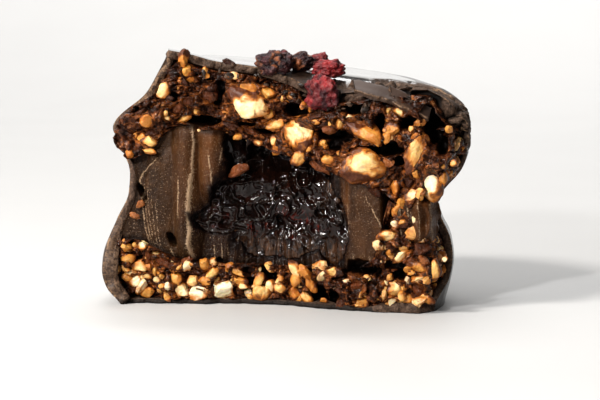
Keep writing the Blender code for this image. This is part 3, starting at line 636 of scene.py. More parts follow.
def paste_finish():
    """Sticky date paste: nearly black to reddish brown, with orange and tan glints and a moist shine. It
    turns amber where it clings to a nut, and is painted darker deep in the crags: painted shade, partly the
    moister paste."""
    look = Finish("date_and_nut_paste", Specular_IOR_Level=0.28, Subsurface_Weight=0.05,
                  Subsurface_Radius=(0.0010, 0.0004, 0.0002))
    hollow, glow = look.tag("hollow"), look.tag("glow")
    veins = look.cloud(1.5, 5.0, 1.4)
    grains = look.cloud(0.55, 4.0, 0.8)
    broad = look.cloud(4.5, 3.0, 0.5)
    cell_colour = look.node("ShaderNodeSeparateColor", None, {"Color": look.cells(1.1).outputs["Color"]})
    pick = Number(look, cell_colour.outputs[0])
    value = 0.55 * veins + 0.30 * grains + 0.12 * pick + 0.18 * broad
    colour = look.ramp(value, (
        (0.36, (0.008, 0.0030, 0.0020)), (0.51, (0.026, 0.0086, 0.0042)), (0.60, (0.078, 0.024, 0.0090)),
        (0.68, (0.18, 0.060, 0.018)), (0.75, (0.40, 0.19, 0.072)), (0.83, (0.62, 0.42, 0.22)),
    ))
    amber = look.blend(grains, (0.12, 0.030, 0.007), (0.42, 0.145, 0.030))
    colour = look.blend(glow * (veins + 0.4 * grains).step(0.60, 0.92), colour, amber)
    # Painted shade deep in the crags, partly the moister, darker paste there.
    colour = look.blend(hollow, colour, (0.005, 0.0019, 0.0010))
    broad_bumps = look.relief(grains + 0.2 * pick, 0.18, look.relief(veins, 0.50))
    bumps = look.relief(look.cloud(0.22, 2.0), 0.05, broad_bumps)
    roughness = 0.04 + 0.22 * look.cloud(1.2, 2.0) + 0.1 * grains
    return look.wear(Base_Color=colour, Roughness=roughness, Normal=bumps)


def nut_finish(name, grain_size):
    """Chopped nut: amber through golden to cream by tone. The stain tag turns it orange, then reddish
    brown, and thin smears of paste lie on it."""
    look = Finish(name, Specular_IOR_Level=0.4, Subsurface_Weight=0.30,
                  Subsurface_Radius=(0.0016, 0.0008, 0.0003))
    tone, stain = look.tag("tone"), look.tag("stain")
    patches = look.cloud(2.0, 4.0)
    grit = look.cloud(grain_size, 4.0)
    smears = look.cloud(1.5, 6.0, 1.2)
    value = tone + 0.55 * (patches - 0.5) + 0.18 * (grit - 0.5)
    base = look.ramp(value, (
        (0.0, (0.15, 0.040, 0.008)), (0.22, (0.38, 0.125, 0.020)), (0.42, (0.56, 0.255, 0.052)),
        (0.62, (0.70, 0.43, 0.155)), (0.82, (0.79, 0.59, 0.31)), (1.0, (0.85, 0.74, 0.50)),
    ))
    shade = stain + 0.8 * (patches - 0.5) + 0.5 * (smears - 0.5)
    orange = look.blend(grit, (0.42, 0.130, 0.018), (0.60, 0.245, 0.042))
    colour = look.blend(shade.step(0.15, 0.60), base, orange)
    colour = look.blend(shade.step(0.48, 1.05), colour, (0.095, 0.024, 0.0070))
    colour = look.blend((smears + 0.30 * stain).step(0.66, 0.84) * 0.7, colour, (0.085, 0.024, 0.007))
    bumps = look.relief(grit + 0.5 * patches, 0.14, look.relief(smears, 0.3))
    return look.wear(Base_Color=colour, Roughness=0.22 + 0.28 * grit, Normal=bumps)


def date_finish():
    """Chopped dates: translucent reddish brown, wrinkled and moist."""
    look = Finish("chopped_date", Specular_IOR_Level=0.3, Subsurface_Weight=0.15,
                  Subsurface_Radius=(0.0016, 0.0005, 0.0002))
    tone = look.tag("tone")
    patches = look.cloud(1.1, 4.0)
    wrinkles = look.cloud(0.5, 3.0, 1.5)
    colour = look.ramp(tone + 0.7 * (patches - 0.5), (
        (0.0, (0.014, 0.0045, 0.0024)), (0.35, (0.055, 0.015, 0.0050)),
        (0.65, (0.165, 0.048, 0.013)), (1.0, (0.40, 0.155, 0.048)),
    ))
    bumps = look.relief(wrinkles + 0.5 * patches, 0.4)
    return look.wear(Base_Color=colour, Roughness=0.14 + 0.32 * patches, Normal=bumps)


def caramel_finish():
    """Soft brown caramel full of tiny pale specks: amber folds, thin upright drag marks, crests where the
    specks crowd together and painted glints lie, a wet black margin at the jam, and painted shade at the
    seams with the biscuits."""
    look = Finish("soft_caramel", Specular_IOR_Level=0.17, Subsurface_Weight=0.10,
                  Subsurface_Radius=(0.0014, 0.0007, 0.0003))
    frost_and_painted_glint, hollow, stain, amber, wet = map(look.tag, ("frost_and_painted_glint", "hollow", "stain", "amber", "wet"))
    drag = look.cloud(0.45, 3.0, 0.6, look.stretched(1, 1, 9))
    broad = look.cloud(3.2, 4.0, 0.6, look.stretched(1, 1, 1.5))
    grit = look.cloud(0.24, 4.0)
    specks = look.cloud(0.20, 4.0)
    colour = look.ramp(broad + 0.10 * (drag - 0.5) + 0.34 * (grit - 0.5), (
        (0.25, (0.013, 0.0055, 0.0021)), (0.5, (0.030, 0.0132, 0.0048)), (0.75, (0.062, 0.0285, 0.0108)),
    ))
    colour = look.blend(amber * (0.2 + 0.8 * broad), colour, (0.120, 0.044, 0.0115))
    colour = look.blend(stain * (0.45 + 0.6 * broad), colour, (0.019, 0.008, 0.0045))
    # Pale specks crowd on the crests: partly frosted specks, partly painted glints.
    pale = (specks + 0.36 * frost_and_painted_glint).step(0.60, 0.71) * (0.58 + 0.22 * frost_and_painted_glint) * (1 - wet)
    colour = look.blend(pale, colour, (0.38, 0.262, 0.165))
    colour = look.blend(wet, colour, (0.0045, 0.0017, 0.0013))
    # Painted shade at the seams with the biscuits.
    colour = look.blend(hollow, colour, (0.008, 0.0034, 0.0018))
    bumps = look.relief(0.35 * drag + 0.9 * grit, 0.18, look.relief(broad, 0.45))
    roughness = 0.22 + 0.16 * drag + 0.25 * frost_and_painted_glint + 0.14 * grit - 0.16 * wet.most(stain)
    return look.wear(Base_Color=colour, Roughness=roughness, Normal=bumps)


def jam_finish():
    """Wet berry jam: black with deep red where it is thin, brown where it is smeared over caramel."""
    look = Finish("berry_jam", Specular_IOR_Level=0.16, Coat_Weight=0.55, Coat_Roughness=0.01)
    thin, red = look.tag("thin"), look.tag("red")
    clots = look.cloud(1.3, 2.0, 1.6)
    drag = look.cloud(0.5, 3.0, 0.5, look.stretched(1, 1, 6))
    colour = look.ramp(clots, (
        (0.3, (0.0035, 0.0014, 0.0010)), (0.6, (0.009, 0.0032, 0.0018)), (0.8, (0.026, 0.007, 0.004)),
    ))
    colour = look.blend(red * clots.step(0.42, 0.7) * 0.7, colour, (0.10, 0.009, 0.004))
    smeared = look.ramp(drag, (
        (0.25, (0.012, 0.0055, 0.003)), (0.55, (0.048, 0.021, 0.009)), (0.8, (0.115, 0.054, 0.024)),
    ))
    colour = look.blend(thin * look.cloud(1.4, 3.0).step(0.30, 0.62), colour, smeared)
    clot_bumps = look.relief(clots, 0.25, look.relief(drag * thin, 0.22))
    bumps = look.relief(look.cloud(0.9, 0.0, 1.0), 0.03, clot_bumps)
    return look.wear(Base_Color=colour, Roughness=0.03 + 0.16 * thin, Normal=bumps)


def berry_finish():
    """Freeze-dried berry: dry drupelets from dull maroon to bright red, a few crowns frosted or orange."""
    look = Finish("dried_berry", Specular_IOR_Level=0.45)
    tone, crown = look.tag("tone"), look.tag("crown")
    patches = look.cloud(1.1, 5.0, 0.8)
    fine = look.cloud(0.28, 4.0)
    colour = look.ramp(tone + 0.8 * (patches - 0.5), (
        (0.0, (0.012, 0.0035, 0.0050)), (0.35, (0.040, 0.0035, 0.0060)),
        (0.65, (0.125, 0.0045, 0.0070)), (1.0, (0.31, 0.009, 0.011)),
    ))
    colour = look.blend((crown + fine).step(1.34, 1.56) * 0.20, colour, (0.42, 0.22, 0.19))
    orange = (look.cloud(2.4, 3.0) - 1.3 * tone).step(0.40, 0.52) * crown * 0.6
    colour = look.blend(orange, colour, (0.40, 0.13, 0.040))
    bumps = look.relief(fine + 0.8 * patches, 0.30)
    return look.wear(Base_Color=colour, Roughness=0.28 + 0.3 * fine, Normal=bumps)


# --- Layers of the cake ---


def layer_grid(low, high, front, size, side=None):
    """Rings of a layer from its underside to its top. Each goes round the wall from its right end to
    its left end, then back across the bite; its height is a share of the way from the low surface to the
    high one. The rings at both ends shrink towards the middle. side moves the wall outwards."""
    around, across, rows = size
    share = np.linspace(0, 1, rows)[:, None]
    place = crowded_ends(around)[None, :]

    def height(x, y):
        base = low(x, y)
        return base + (high(x, y) - base) * share

    z = np.full((rows, around), WAIST_HEIGHT)
    turn = RIGHT_END + (LEFT_END - RIGHT_END) * place
    for _ in range(6):
        radius = wall_radius(turn, z) - coat_thickness(turn, z) + COAT_THICKNESS
        radius = radius - (COAT_THICKNESS + LAYER_GAP) + swelling(turn, z)
        if side:
            radius = radius + side(turn, z)
        x = axis_shift(z) + radius * np.cos(turn)
        y = radius * np.sin(turn)
        z = height(x, y)
    steps = np.arange(1, across + 1) / (across + 1)
    front_x = x[:, -1:] + (x[:, :1] - x[:, -1:]) * steps
    front_z = height(front_x, bite_y(front_x))
    front_y = front(front_x, front_z)
    grid = np.stack([np.hstack([x, front_x]), np.hstack([y, front_y]), np.hstack([z, front_z])], axis=2)

    def caps_of(ring, surface):
        """Copies of an end ring on its surface, each nearer to the middle."""
        flat = [CAP_CENTRE + (ring[:, :2] - CAP_CENTRE) * shrink for shrink in CAP_SHRINKS]
        return np.stack([np.column_stack([xy, surface(*xy.T)]) for xy in flat])

    return np.concatenate([caps_of(grid[0], low)[::-1], grid, caps_of(grid[-1], high)])


def crowded_ends(count, ends=0.14, share=0.35):
    """Numbers from 0 to 1 that lie close together near both ends: a share of them within ends."""
    near = round(count * share)
    return np.concatenate([
        np.linspace(0, ends, near, endpoint=False),
        np.linspace(ends, 1 - ends, count - 2 * near, endpoint=False),
        np.linspace(1 - ends, 1, near),
    ])


def crumb_side(turn, z):
    """The crumb's relief carried round on to the wall, where the coat has come off."""
    bare = smooth(0.30, 0.08, turn) + smooth(3.02, 3.2, turn)
    return -crumb_relief(turn * 29, z) * bare * 0.9


def lower_front(x, z):
    """The lower biscuit's bite: the bitten face, a little forward, with broad unevenness."""
    return bite_y(x) - 0.8 + biscuit_relief(x, z)


def upper_front(x, z):
    """The upper biscuit's bite: as the lower one's, from another part of the noise."""
    return bite_y(x) - 0.4 + biscuit_relief(x, z + 40)


def upper_top(x, y):
    """The upper biscuit's top: under the coat's by its thickness and the gap."""
    return top_height(x, y) - COAT_THICKNESS - LAYER_GAP


def lower_top_seen(x, y):
    """The lower biscuit's top as it shows: on the right its crumb piles up to the upper biscuit."""
    low, high = lower_biscuit_top(x, y), upper_biscuit_base(x, y)
    return low + np.maximum(high - low - 0.3, 0) * smooth(16.4, 19.2, x + 0.5 * noise(x / 2, y / 2, 0.5, 59))


def wet_reach(x, z):
    """How far a point of the bite lies from the jam: 1 at the edge of the nearest blob, with noise that
    makes the edge waver."""
    waver = 0.15 * layers_of_noise(x / 2.6, z / 2.6, 0.5, 61, 4) + 0.07 * noise(x / 0.6, z / 1.4, 0.5, 65)
    reaches = [np.hypot((x - bx) / hx, (z - bz) / hz) for bx, bz, hx, hz in JAM_BLOBS]
    return np.minimum.reduce(reaches) + waver


def streaks(x, z):
    """Upright drag marks, finer than the broad ridges: noise drawn out upwards, with a sharp crest where
    it passes through zero."""
    lean = x + 0.06 * (z - 16) * np.sign(x)
    crest = 1 - 2 * np.abs(noise(lean / 1.5, z / 13, 0.5, 62))
    fine = 1 - 2 * np.abs(noise(lean / 0.6, z / 9, 0.5, 63))
    return -0.38 * crest - 0.16 * fine + 0.10 * noise(lean / 0.32, z / 4, 0.5, 64)


def folds(x, z):
    """Soft folds of the drawn-up caramel: each bulges like half a cylinder round its leaning line, with a
    round head, and narrows towards its foot."""
    total = np.zeros(np.shape(x))
    for line, half, rise, low, high in FOLDS:
        half = half * (0.45 + 0.55 * smooth(low - 6, low + 6, z))
        head = np.maximum(z - high + half, 0) / half
        bulge = np.clip(1 - ((x - curve(line, z)) / half) ** 2 - head**2, 0, 1)
        total = np.maximum(total, rise * bulge * smooth(low - 3, low + 1, z))
    return total


def jam_face(x, z):
    """The wet clotted face: lumps of bent noise with rolled ridges between them, thin round wrinkles where
    another noise passes through zero, a deep pit under the biscuit, streaks low down."""
    bent_x = x + 0.9 * noise(x / 1.8, z / 1.8, 0.5, 72)
    bent_z = z + 0.9 * noise(x / 1.8, z / 1.8, 0.5, 73)
    broad = noise(bent_x / 3.0, bent_z / 2.6, 0.5, 71)
    ridges = 1 - 2 * np.abs(layers_of_noise(bent_x / 1.6, bent_z / 2.2, 0.5, 74, 2))
    beads = noise(bent_x / 0.8, bent_z / 0.8, 0.5, 75)
    wrinkles = bump(layers_of_noise(bent_x / 2.2, bent_z / 2.6, 0.5, 78, 2), 0, 0.19)
    low = smooth(13.5, 9.5, z + 0.9 * noise(x / 1.5, 0.5, 0.5, 76))
    pit = 3.6 * bump(x, -1.4, 5.4) * smooth(20.0, 23.5, z) + 1.5 * bump(x, 5.0, 3.5) * smooth(20, 22, z)
    wet = -1.3 * broad - 0.40 * ridges - 0.06 * beads - 0.70 * wrinkles + pit - 0.2
    dragged = 1.5 * streaks(x, z) + 0.9 * caramel_relief(x, z) - 0.15 * ridges - 0.3
    return bite_y(x) + 1.7 + wet * (1 - low) + dragged * low + 3.4 * smooth(1.0, 1.28, wet_reach(x, z))


def pulled_reach(x, z):
    """How far a point lies from the middle of the pulled caramel: 1 on an oval, with a wavering edge."""
    across, up = ((value - middle) / half for value, middle, half in zip((x, z), PULLED_MIDDLE, PULLED_HALF))
    return np.hypot(across, up) + 0.16 * layers_of_noise(x / 1.8, z / 2.4, 0.5, 105, 3)


def pulled_face(x, z):
    """Caramel pulled down over the crumb on the right: rounded upright strands side by side, each a bell
    across a wavering line, sinking under the crumb at the rim."""
    lean = x + 0.45 * noise(z / 2.6, 0.5, 0.5, 106) + 0.15 * noise(x, z / 1.2, 0.5, 107)
    ropes = sum(rise * bump(lean, line, half) for line, half, rise in STRANDS)
    sunk = 2.6 * smooth(0.72, PULLED_RIM, pulled_reach(x, z))
    return lower_front(x, z) + 0.3 - ropes + 0.10 * noise(x / 0.7, z / 2.0, 0.5, 108) + sunk


def biscuit(name, low, high, front, finish):
    """One biscuit with its craggy bite. The tag for how deep a point lies in the crags paints the paste
    darker there, as shade and partly as moister paste; glow is how near a nut is."""
    grid = layer_grid(low, high, lambda x, z: front(x, z) + bite_crumb(x, z), BISCUIT_GRID, crumb_side)
    x, y, z = np.moveaxis(grid, 2, 0)
    depth = y - front(x, z)
    depth[:, :BISCUIT_GRID[0]] = 0.3
    inside, ring = seats(x, z)
    hollow = smooth(0.45, 1.7, depth) * (1 - 0.8 * inside)
    glow = np.clip(ring + 0.7 * inside, 0, 1) * (depth < 1.5)
    make(name + "_crumb", *capped_rings(grid), finish, "biscuit", (name,),
         hollow=with_ends(hollow), glow=with_ends(glow))


def pulled_caramel(finish):
    """The pulled caramel as a closed pillow, with a painted glint as a pale crest beside the middle of each
    strand.
    """
    grid, points, faces = pillow(
        PULLED_MIDDLE, pulled_reach, PULLED_RIM, pulled_face, PULLED_GRID, PULLED_DEPTH)
    x, _, z = np.moveaxis(grid, 2, 0)
    lean = x + 0.45 * noise(z / 2.6, 0.5, 0.5, 106)
    # A painted glint beside the middle of each strand.
    crest = np.clip(sum(bump(lean, line + 0.15, 0.12) for line, _, _ in STRANDS), 0, 1)
    none = 0 * x
    tags = {"frost_and_painted_glint": 0.55 * crest, "stain": 0.45 + none, "amber": smooth(22, 24, x)}
    tags.update(hollow=none, wet=none)
    make("pulled_caramel", points, faces, finish, "caramel",
         **{tag: with_ends(values) for tag, values in tags.items()})


def caramel_front(x, z):
    """The dragged face: broad ridges, streaks and folds, a flat slab on the right with a ragged foot, and
    a seat that falls away behind the jam."""
    band = smooth(11.4, 12.4, x) * smooth(18.6, 17.8, x) * smooth(23, 21.5, z)
    left = smooth(-7.6, -10, x) * smooth(-19.4, -17.6, x) * smooth(13, 18, z)
    ridges = caramel_relief(x, z) * (1 - 0.8 * left) * (1 - 0.6 * smooth(-16, -19, x))
    rough = ridges + streaks(x, z) * (1 - 0.75 * smooth(-7.6, -11, x))
    face = rough * (1 - 0.75 * band) - 0.9 * band + 0.05 * noise(x / 0.5, z / 0.5, 0.5, 66)
    gap = 4.0 * bump(x, 18.9, 0.75) * smooth(12.5, 14.5, z) * smooth(21.5, 19, z)
    under = smooth(8.3, 7.3, z + 0.5 * noise(x / 0.7, 0.5, 0.5, 70))
    foot = 3.5 * under * smooth(11.8, 12.8, x) * smooth(19.5, 18.5, x)
    pores = 0
    for pore_x, pore_z, half_x, half_z in PORES:
        across, up = x - pore_x + 0.45 * (z - pore_z), z - pore_z
        pores = pores + 2.6 * smooth(1.15, 0.8, np.hypot(across / half_x, up / half_z))
    reach = wet_reach(x, z)
    seat = 2.8 * smooth(1.08, 0.85, reach) + 5.0 * smooth(0.98, 0.75, reach)
    return bite_y(x) + 0.9 + face - folds(x, z) + pores + gap + foot + seat


def frost_and_glint_lines(x, z):
    """Pale crests where the caramel was drawn up, partly frosted specks and partly painted glints:
    wavering upright lines, each with its half width.
    """
    waver = 0.22 * noise(z / 1.7, 0.5, 0.5, 67) + 0.10 * noise(z / 0.6, 0.5, 0.5, 68)
    total = np.zeros(np.shape(x))
    for line, half, strength in CRESTS:
        low, high = line[0][0], line[-1][0]
        span = smooth(low - 0.8, low + 0.8, z) * smooth(high + 0.8, high - 0.8, z)
        total = total + strength * bump(x - waver, curve(line, z), half) * span
    return np.clip(total, 0, 1)


def caramel(finish):
    """The caramel layer, sunk a little into both biscuits. Its crests stand out by their paleness, partly
    pale specks and partly painted glints; amber gathers in the folds and at the rims of the flat slab; its
    seams with the biscuits are painted dark as shade."""
    grid = layer_grid(
        lambda x, y: lower_biscuit_top(x, y) - 0.3, lambda x, y: upper_biscuit_base(x, y) + 0.3,
        caramel_front, CARAMEL_GRID,
    )
    x, y, z = np.moveaxis(grid, 2, 0)
    frost_and_painted_glint = frost_and_glint_lines(x, z)
    bite = np.s_[:, CARAMEL_GRID[0]:]
    y[bite] -= 0.30 * frost_and_painted_glint[bite] * (0.6 + 0.4 * noise(x[bite] * 2, z[bite] / 0.5, 0.5, 69))
    low, high = lower_biscuit_top(x, bite_y(x)), upper_biscuit_base(x, bite_y(x))
    reach = wet_reach(x, z)
    # Painted shade: darker where the caramel meets each biscuit, most under the upper one's overhang.
    hollow = smooth(1.0, 0.2, z - low) + smooth(1.0, 0.1, high - z)
    below_jam = smooth(-13.8, -12, x) * smooth(12.5, 9, x) * smooth(15, 12, z)
    stain = np.maximum(smooth(1.5, 1.08, reach), below_jam)
    fold_amber = 0.95 * bump(x, -11.0, 2.2) * smooth(16, 20, z) + 0.5 * bump(x, -15.5, 2.6) * smooth(9, 17, z)
    slab_rim = 0.8 * smooth(10.4, 11.0, x) * smooth(13, 12.2, x) * smooth(12, 17, z)
    tags = {
        "frost_and_painted_glint": frost_and_painted_glint, "hollow": np.clip(0.8 * hollow, 0, 1), "stain": stain,
        "amber": np.maximum(fold_amber + 0.3 * smooth(10.8, 12.5, x), slab_rim),
        "wet": smooth(1.22, 1.04, reach),
    }
    make("soft_caramel", *capped_rings(grid), finish, "caramel", ("caramel",),
         **{tag: with_ends(values) for tag, values in tags.items()})


def sphere_grid(rows, columns):
    """Directions over a ball: rings between the poles, which capped_rings closes."""
    tilt = math.pi * (np.arange(rows) + 0.5) / rows
    turn = 2 * math.pi * np.arange(columns) / columns
    tilt, turn = np.meshgrid(tilt, turn, indexing="ij")
    return np.stack([np.sin(tilt) * np.cos(turn), np.sin(tilt) * np.sin(turn), -np.cos(tilt)], axis=2)


def pillow(middle, reach, limit, face, size, sink):
    """A closed pillow in the bite. Its outline is where reach, measured along each direction from the
    middle, last comes to the limit; its front is the face, and its back lies sink behind the rim."""
    middle_x, middle_z = middle
    rows, columns = size
    turn = 2 * math.pi * np.arange(columns) / columns
    far = np.linspace(0, 20, 400)[:, None]
    within = reach(middle_x + far * np.cos(turn), middle_z + far * np.sin(turn)) < limit
    outline = far[len(far) - 1 - np.argmax(within[::-1], axis=0), 0]
    share = np.linspace(0, 1, rows + 1)[1:, None]
    x = middle_x + share * outline * np.cos(turn)
    z = middle_z + share * outline * np.sin(turn)
    front = np.dstack([x, face(x, z), z])
    back = [
        np.column_stack([
            middle_x + (x[-1] - middle_x) * shrink,
            front[-1, :, 1] * shrink + (1 - shrink) * sink + behind * sink,
            middle_z + (z[-1] - middle_z) * shrink,
        ])
        for shrink, behind in ((0.96, 0.36), (0.7, 0.8), (0.3, 1))
    ]
    grid = np.concatenate([front, np.stack(back)])
    points, faces = capped_rings(grid)
    points[-2] = (middle_x, face(*np.array([[middle_x], [middle_z]]))[0], middle_z)
    return grid, points, faces


def jam(finish):
    """The jam core: a closed pillow whose front is the clotted face."""
    grid, points, faces = pillow(JAM_MIDDLE, wet_reach, JAM_RIM, jam_face, JAM_GRID, JAM_DEPTH)
    x, _, z = np.moveaxis(grid, 2, 0)
    thin = np.maximum(smooth(12.6, 8.5, z), 0.8 * smooth(0.8, 1.05, wet_reach(x, z)))
    red = smooth(0.1, 0.7, noise(x / 2.2, z / 1.6, 0.5, 77)) * smooth(20, 16, z)
    make("jam_core", points, faces, finish, "jam", ("jam",), thin=with_ends(thin), red=with_ends(red))


# --- The coat ---


def coat_end(table, z, seed):
    """Where the coat's wall stops at that height: a line through the table, with noise of two sizes."""
    ragged = 1.1 * noise(z / 1.3, 0.5, 0.5, seed) + 0.5 * noise(z / 0.5, 0.5, 0.5, seed + 1)
    return np.radians(curve(table, z) + ragged)


def coat_front(x, z):
    """The coat's broken edge: forward under the bite, back where the plate snapped off."""
    base = -1.3 * (1 - smooth(2, 6, z))
    notch = NOTCH_DEPTH * bump(x, NOTCH_X, 5.5) * smooth(20, 30, z)
    ragged = 0.5 * noise(x / 2.0, z / 2.0, 0.5, 37) + 0.28 * noise(x / 0.7, z / 0.7, 0.5, 38)
    return bite_y(x) + base + notch + ragged


def dome_share(x, y, z):
    """1 on the broken right shoulder of the coat, 0 elsewhere."""
    return smooth(13, 19, x) * smooth(7.5, 1.5, y - 0.25 * (x - 20)) * smooth(25, 29, z)


def dome_relief(x, y, z):
    """How far in the broken shoulder lies: slabs of noise with steps, and deep winding cracks."""
    slabs = np.round(2.2 * noise(x / 3.4, y / 3.0, z / 2.2, 93) + 0.5 * noise(x, y, z, 94)) / 2.2
    crack = smooth(0.76, 0.95, 1 - np.abs(layers_of_noise(x / 3.6, y / 3.6, z / 2.4, 96, 2)))
    return 0.55 * slabs - 1.3 * crack + 0.20 * layers_of_noise(x / 1.2, y / 1.2, z / 1.2, 90, 3) - 0.5


def flat_part(arc, columns, rows, surface, bend):
    """Rows from the wall's end to the broken front line, on a surface: straight lines between the two."""
    steps = np.linspace(0, 1, columns)
    x = arc[0, 0] + (arc[-1, 0] - arc[0, 0]) * steps
    y = coat_front(x, surface(x, bite_y(x)))
    right_face = arc[0, 1] - 1.5 * (arc[0, 0] - x)
    left_face = arc[-1, 1] - 1.5 * (x - arc[-1, 0])
    y = np.maximum(y, np.maximum(right_face, left_face))
    line = np.column_stack([x, y])
    line[0], line[-1] = arc[0, :2], arc[-1, :2]
    share = (1 - (1 - np.linspace(0, 1, rows + 1)[1:]) ** bend)[:, None, None]
    xy = arc[None, :, :2] + (line - arc[:, :2])[None] * share
    return np.dstack([xy, surface(xy[:, :, 0], xy[:, :, 1])])


def coat_rim(outer, inner):
    """The broken edge: a strip of points from the outer grid's border to the inner one's. It bulges in
    the middle and is roughened by noise, cracked where another noise passes through zero, and hollowed
    under the broken shoulder. Also gives how deep the cracks are, and where the cave lies."""

    def loop(grid):
        """The points of the grid's border, once round."""
        return np.concatenate([grid[0], grid[1:-1, -1], grid[-1, ::-1], grid[-2:0:-1, 0]])

    outside, inside = loop(outer), loop(inner)
    tangent = np.roll(outside, -1, axis=0) - np.roll(outside, 1, axis=0)
    facing = np.cross(inside - outside, tangent)
    facing /= np.linalg.norm(facing, axis=1, keepdims=True) + 1e-9
    share = np.linspace(0, 1, 11)[1:-1, None]
    rim = outside + (inside - outside) * share[:, :, None]
    rx, ry, rz = np.moveaxis(rim, 2, 0)
    high_up = smooth(24, 32, rz)
    rough = (0.16 + 0.2 * high_up) * layers_of_noise(rx / 1.2, ry / 1.2, rz / 1.2, 95, 3)
    crack = smooth(0.80, 1.0, 1 - np.abs(noise(rx / 2.6, ry / 2.6, rz / 2.0, 97)))
    crack = (0.15 + high_up * (0.15 + 0.85 * smooth(6, 14, rx))) * crack
    hole = 2.6 * smooth(1.2, 0.6, np.hypot((rx - 29.4) / 1.3, (rz - 29.6) / 0.9)) * (ry < 0)
    cave = smooth(16.5, 18.5, rx) * smooth(28.0, 26.5, rx) * (rz > 31) * (ry < 0)
    rim = rim + facing * (rough - crack - hole - 1.5 * cave + 0.3 * np.sin(math.pi * share))[:, :, None]
    return np.concatenate([outside[None], rim, inside[None]]), crack + hole, cave


def coat_tags(outer, top, dome, dome_depth, strip, dug, cave):
    """What the finish needs to know at each point of the outer grid, the inner one and the strip: deep
    in a crack, hole, cave or at the foot, painted as shade; shiny; smooth as snapped, or painted light on
    the lower left; broken, or bloom with painted sheen; or on a tan line along an edge."""
    gap = np.full(outer.shape[:2], 9.0)
    high = len(outer) - len(top)
    gap[high:] = np.linalg.norm(top - top[-1], axis=2)
    x, y, z = np.moveaxis(outer, 2, 0)
    edge = smooth(0.5, 0.05, gap + 0.3 * noise(x, y, 0.5, 98))
    # Grey-brown patches on the top in front of the berries: partly bloom, partly painted sheen of the top
    # where it slopes forward.
    patch = 0.6 * bump(x, 2.3, 2.2) + 0.95 * bump(x, 11.8, 2.4)
    bloom_and_painted_sheen = np.clip(patch, 0, 1) * smooth(6.0, 3.0, gap) * (z > 30)
    broken = np.maximum(np.maximum(edge, bloom_and_painted_sheen), smooth(0.1, 0.5, dome))
    on_top = np.arange(len(outer))[:, None] >= high
    sheen = np.where(on_top, smooth(0.3, 1.5, gap), 0) * (1 - broken)
    crumbs = smooth(-0.1, 0.35, layers_of_noise(x / 1.1, y / 1.1, z / 1.1, 89, 2))
    line = 1.8 * bump(y, 4.0, 2.6) * smooth(22, 25, x) * smooth(27, 29, z) * crumbs

    ox, oy, oz = strip[0].T
    rim_line = np.zeros(strip.shape[:2])
    rim_line[0], rim_line[1] = 1.0, 0.6
    rim_line *= smooth(-0.5, 0.3, noise(ox / 3, oy / 3, oz / 3, 99)) * (oz > 1)
    rim_line = np.maximum(rim_line, 0.4 * smooth(-17, -19, ox) * smooth(31, 34, oz))
    # Painted light: the lower left of the wall and its strip get the plate's lighter brown and less grit,
    # standing for the light from the left.
    low_left_painted_light = smooth(-20, -24, ox) * smooth(15, 11, oz)
    rim_line = np.maximum(rim_line, 0.16 * low_left_painted_light)
    low_left_painted_light = low_left_painted_light * (oz > 0.5)
    rim_broken = 1 - 0.75 * low_left_painted_light * smooth(0.75, 0.55, np.linspace(0, 1, 11)[:, None])
    # Painted shade on the strip: near black in its cracks and holes, in the cave under the shoulder, and at
    # its foot under the crumb.
    rim_painted_shade = np.zeros(strip.shape[:2])
    rim_painted_shade[1:-1] = np.maximum(smooth(0.35, 0.9, dug), 0.9 * cave)
    rim_painted_shade = np.maximum(rim_painted_shade, 0.85 * smooth(1.0, 0.6, strip[:, :, 2]) * (ox < 17))
    parts = {
        # deep: painted shade in the cracks of the shoulder and on the strip.
        "deep": (smooth(-1.0, -1.7, dome_depth), 0, rim_painted_shade),
        "sheen": (sheen, 0, 0 * rim_painted_shade),
        # plate: painted light on the outer lower left of the wall, and on the strip there.
        "plate": (0.8 * smooth(-20, -24, x) * smooth(19, 14, z), 0, 0.9 * low_left_painted_light + 0 * rim_painted_shade),
        "broken": (broken, 1, rim_broken),
        "line": (line, 0, rim_line),
    }
    return {
        tag: np.concatenate([out.ravel(), np.full(gap.size, within), rim.ravel()])
        for tag, (out, within, rim) in parts.items()
    }


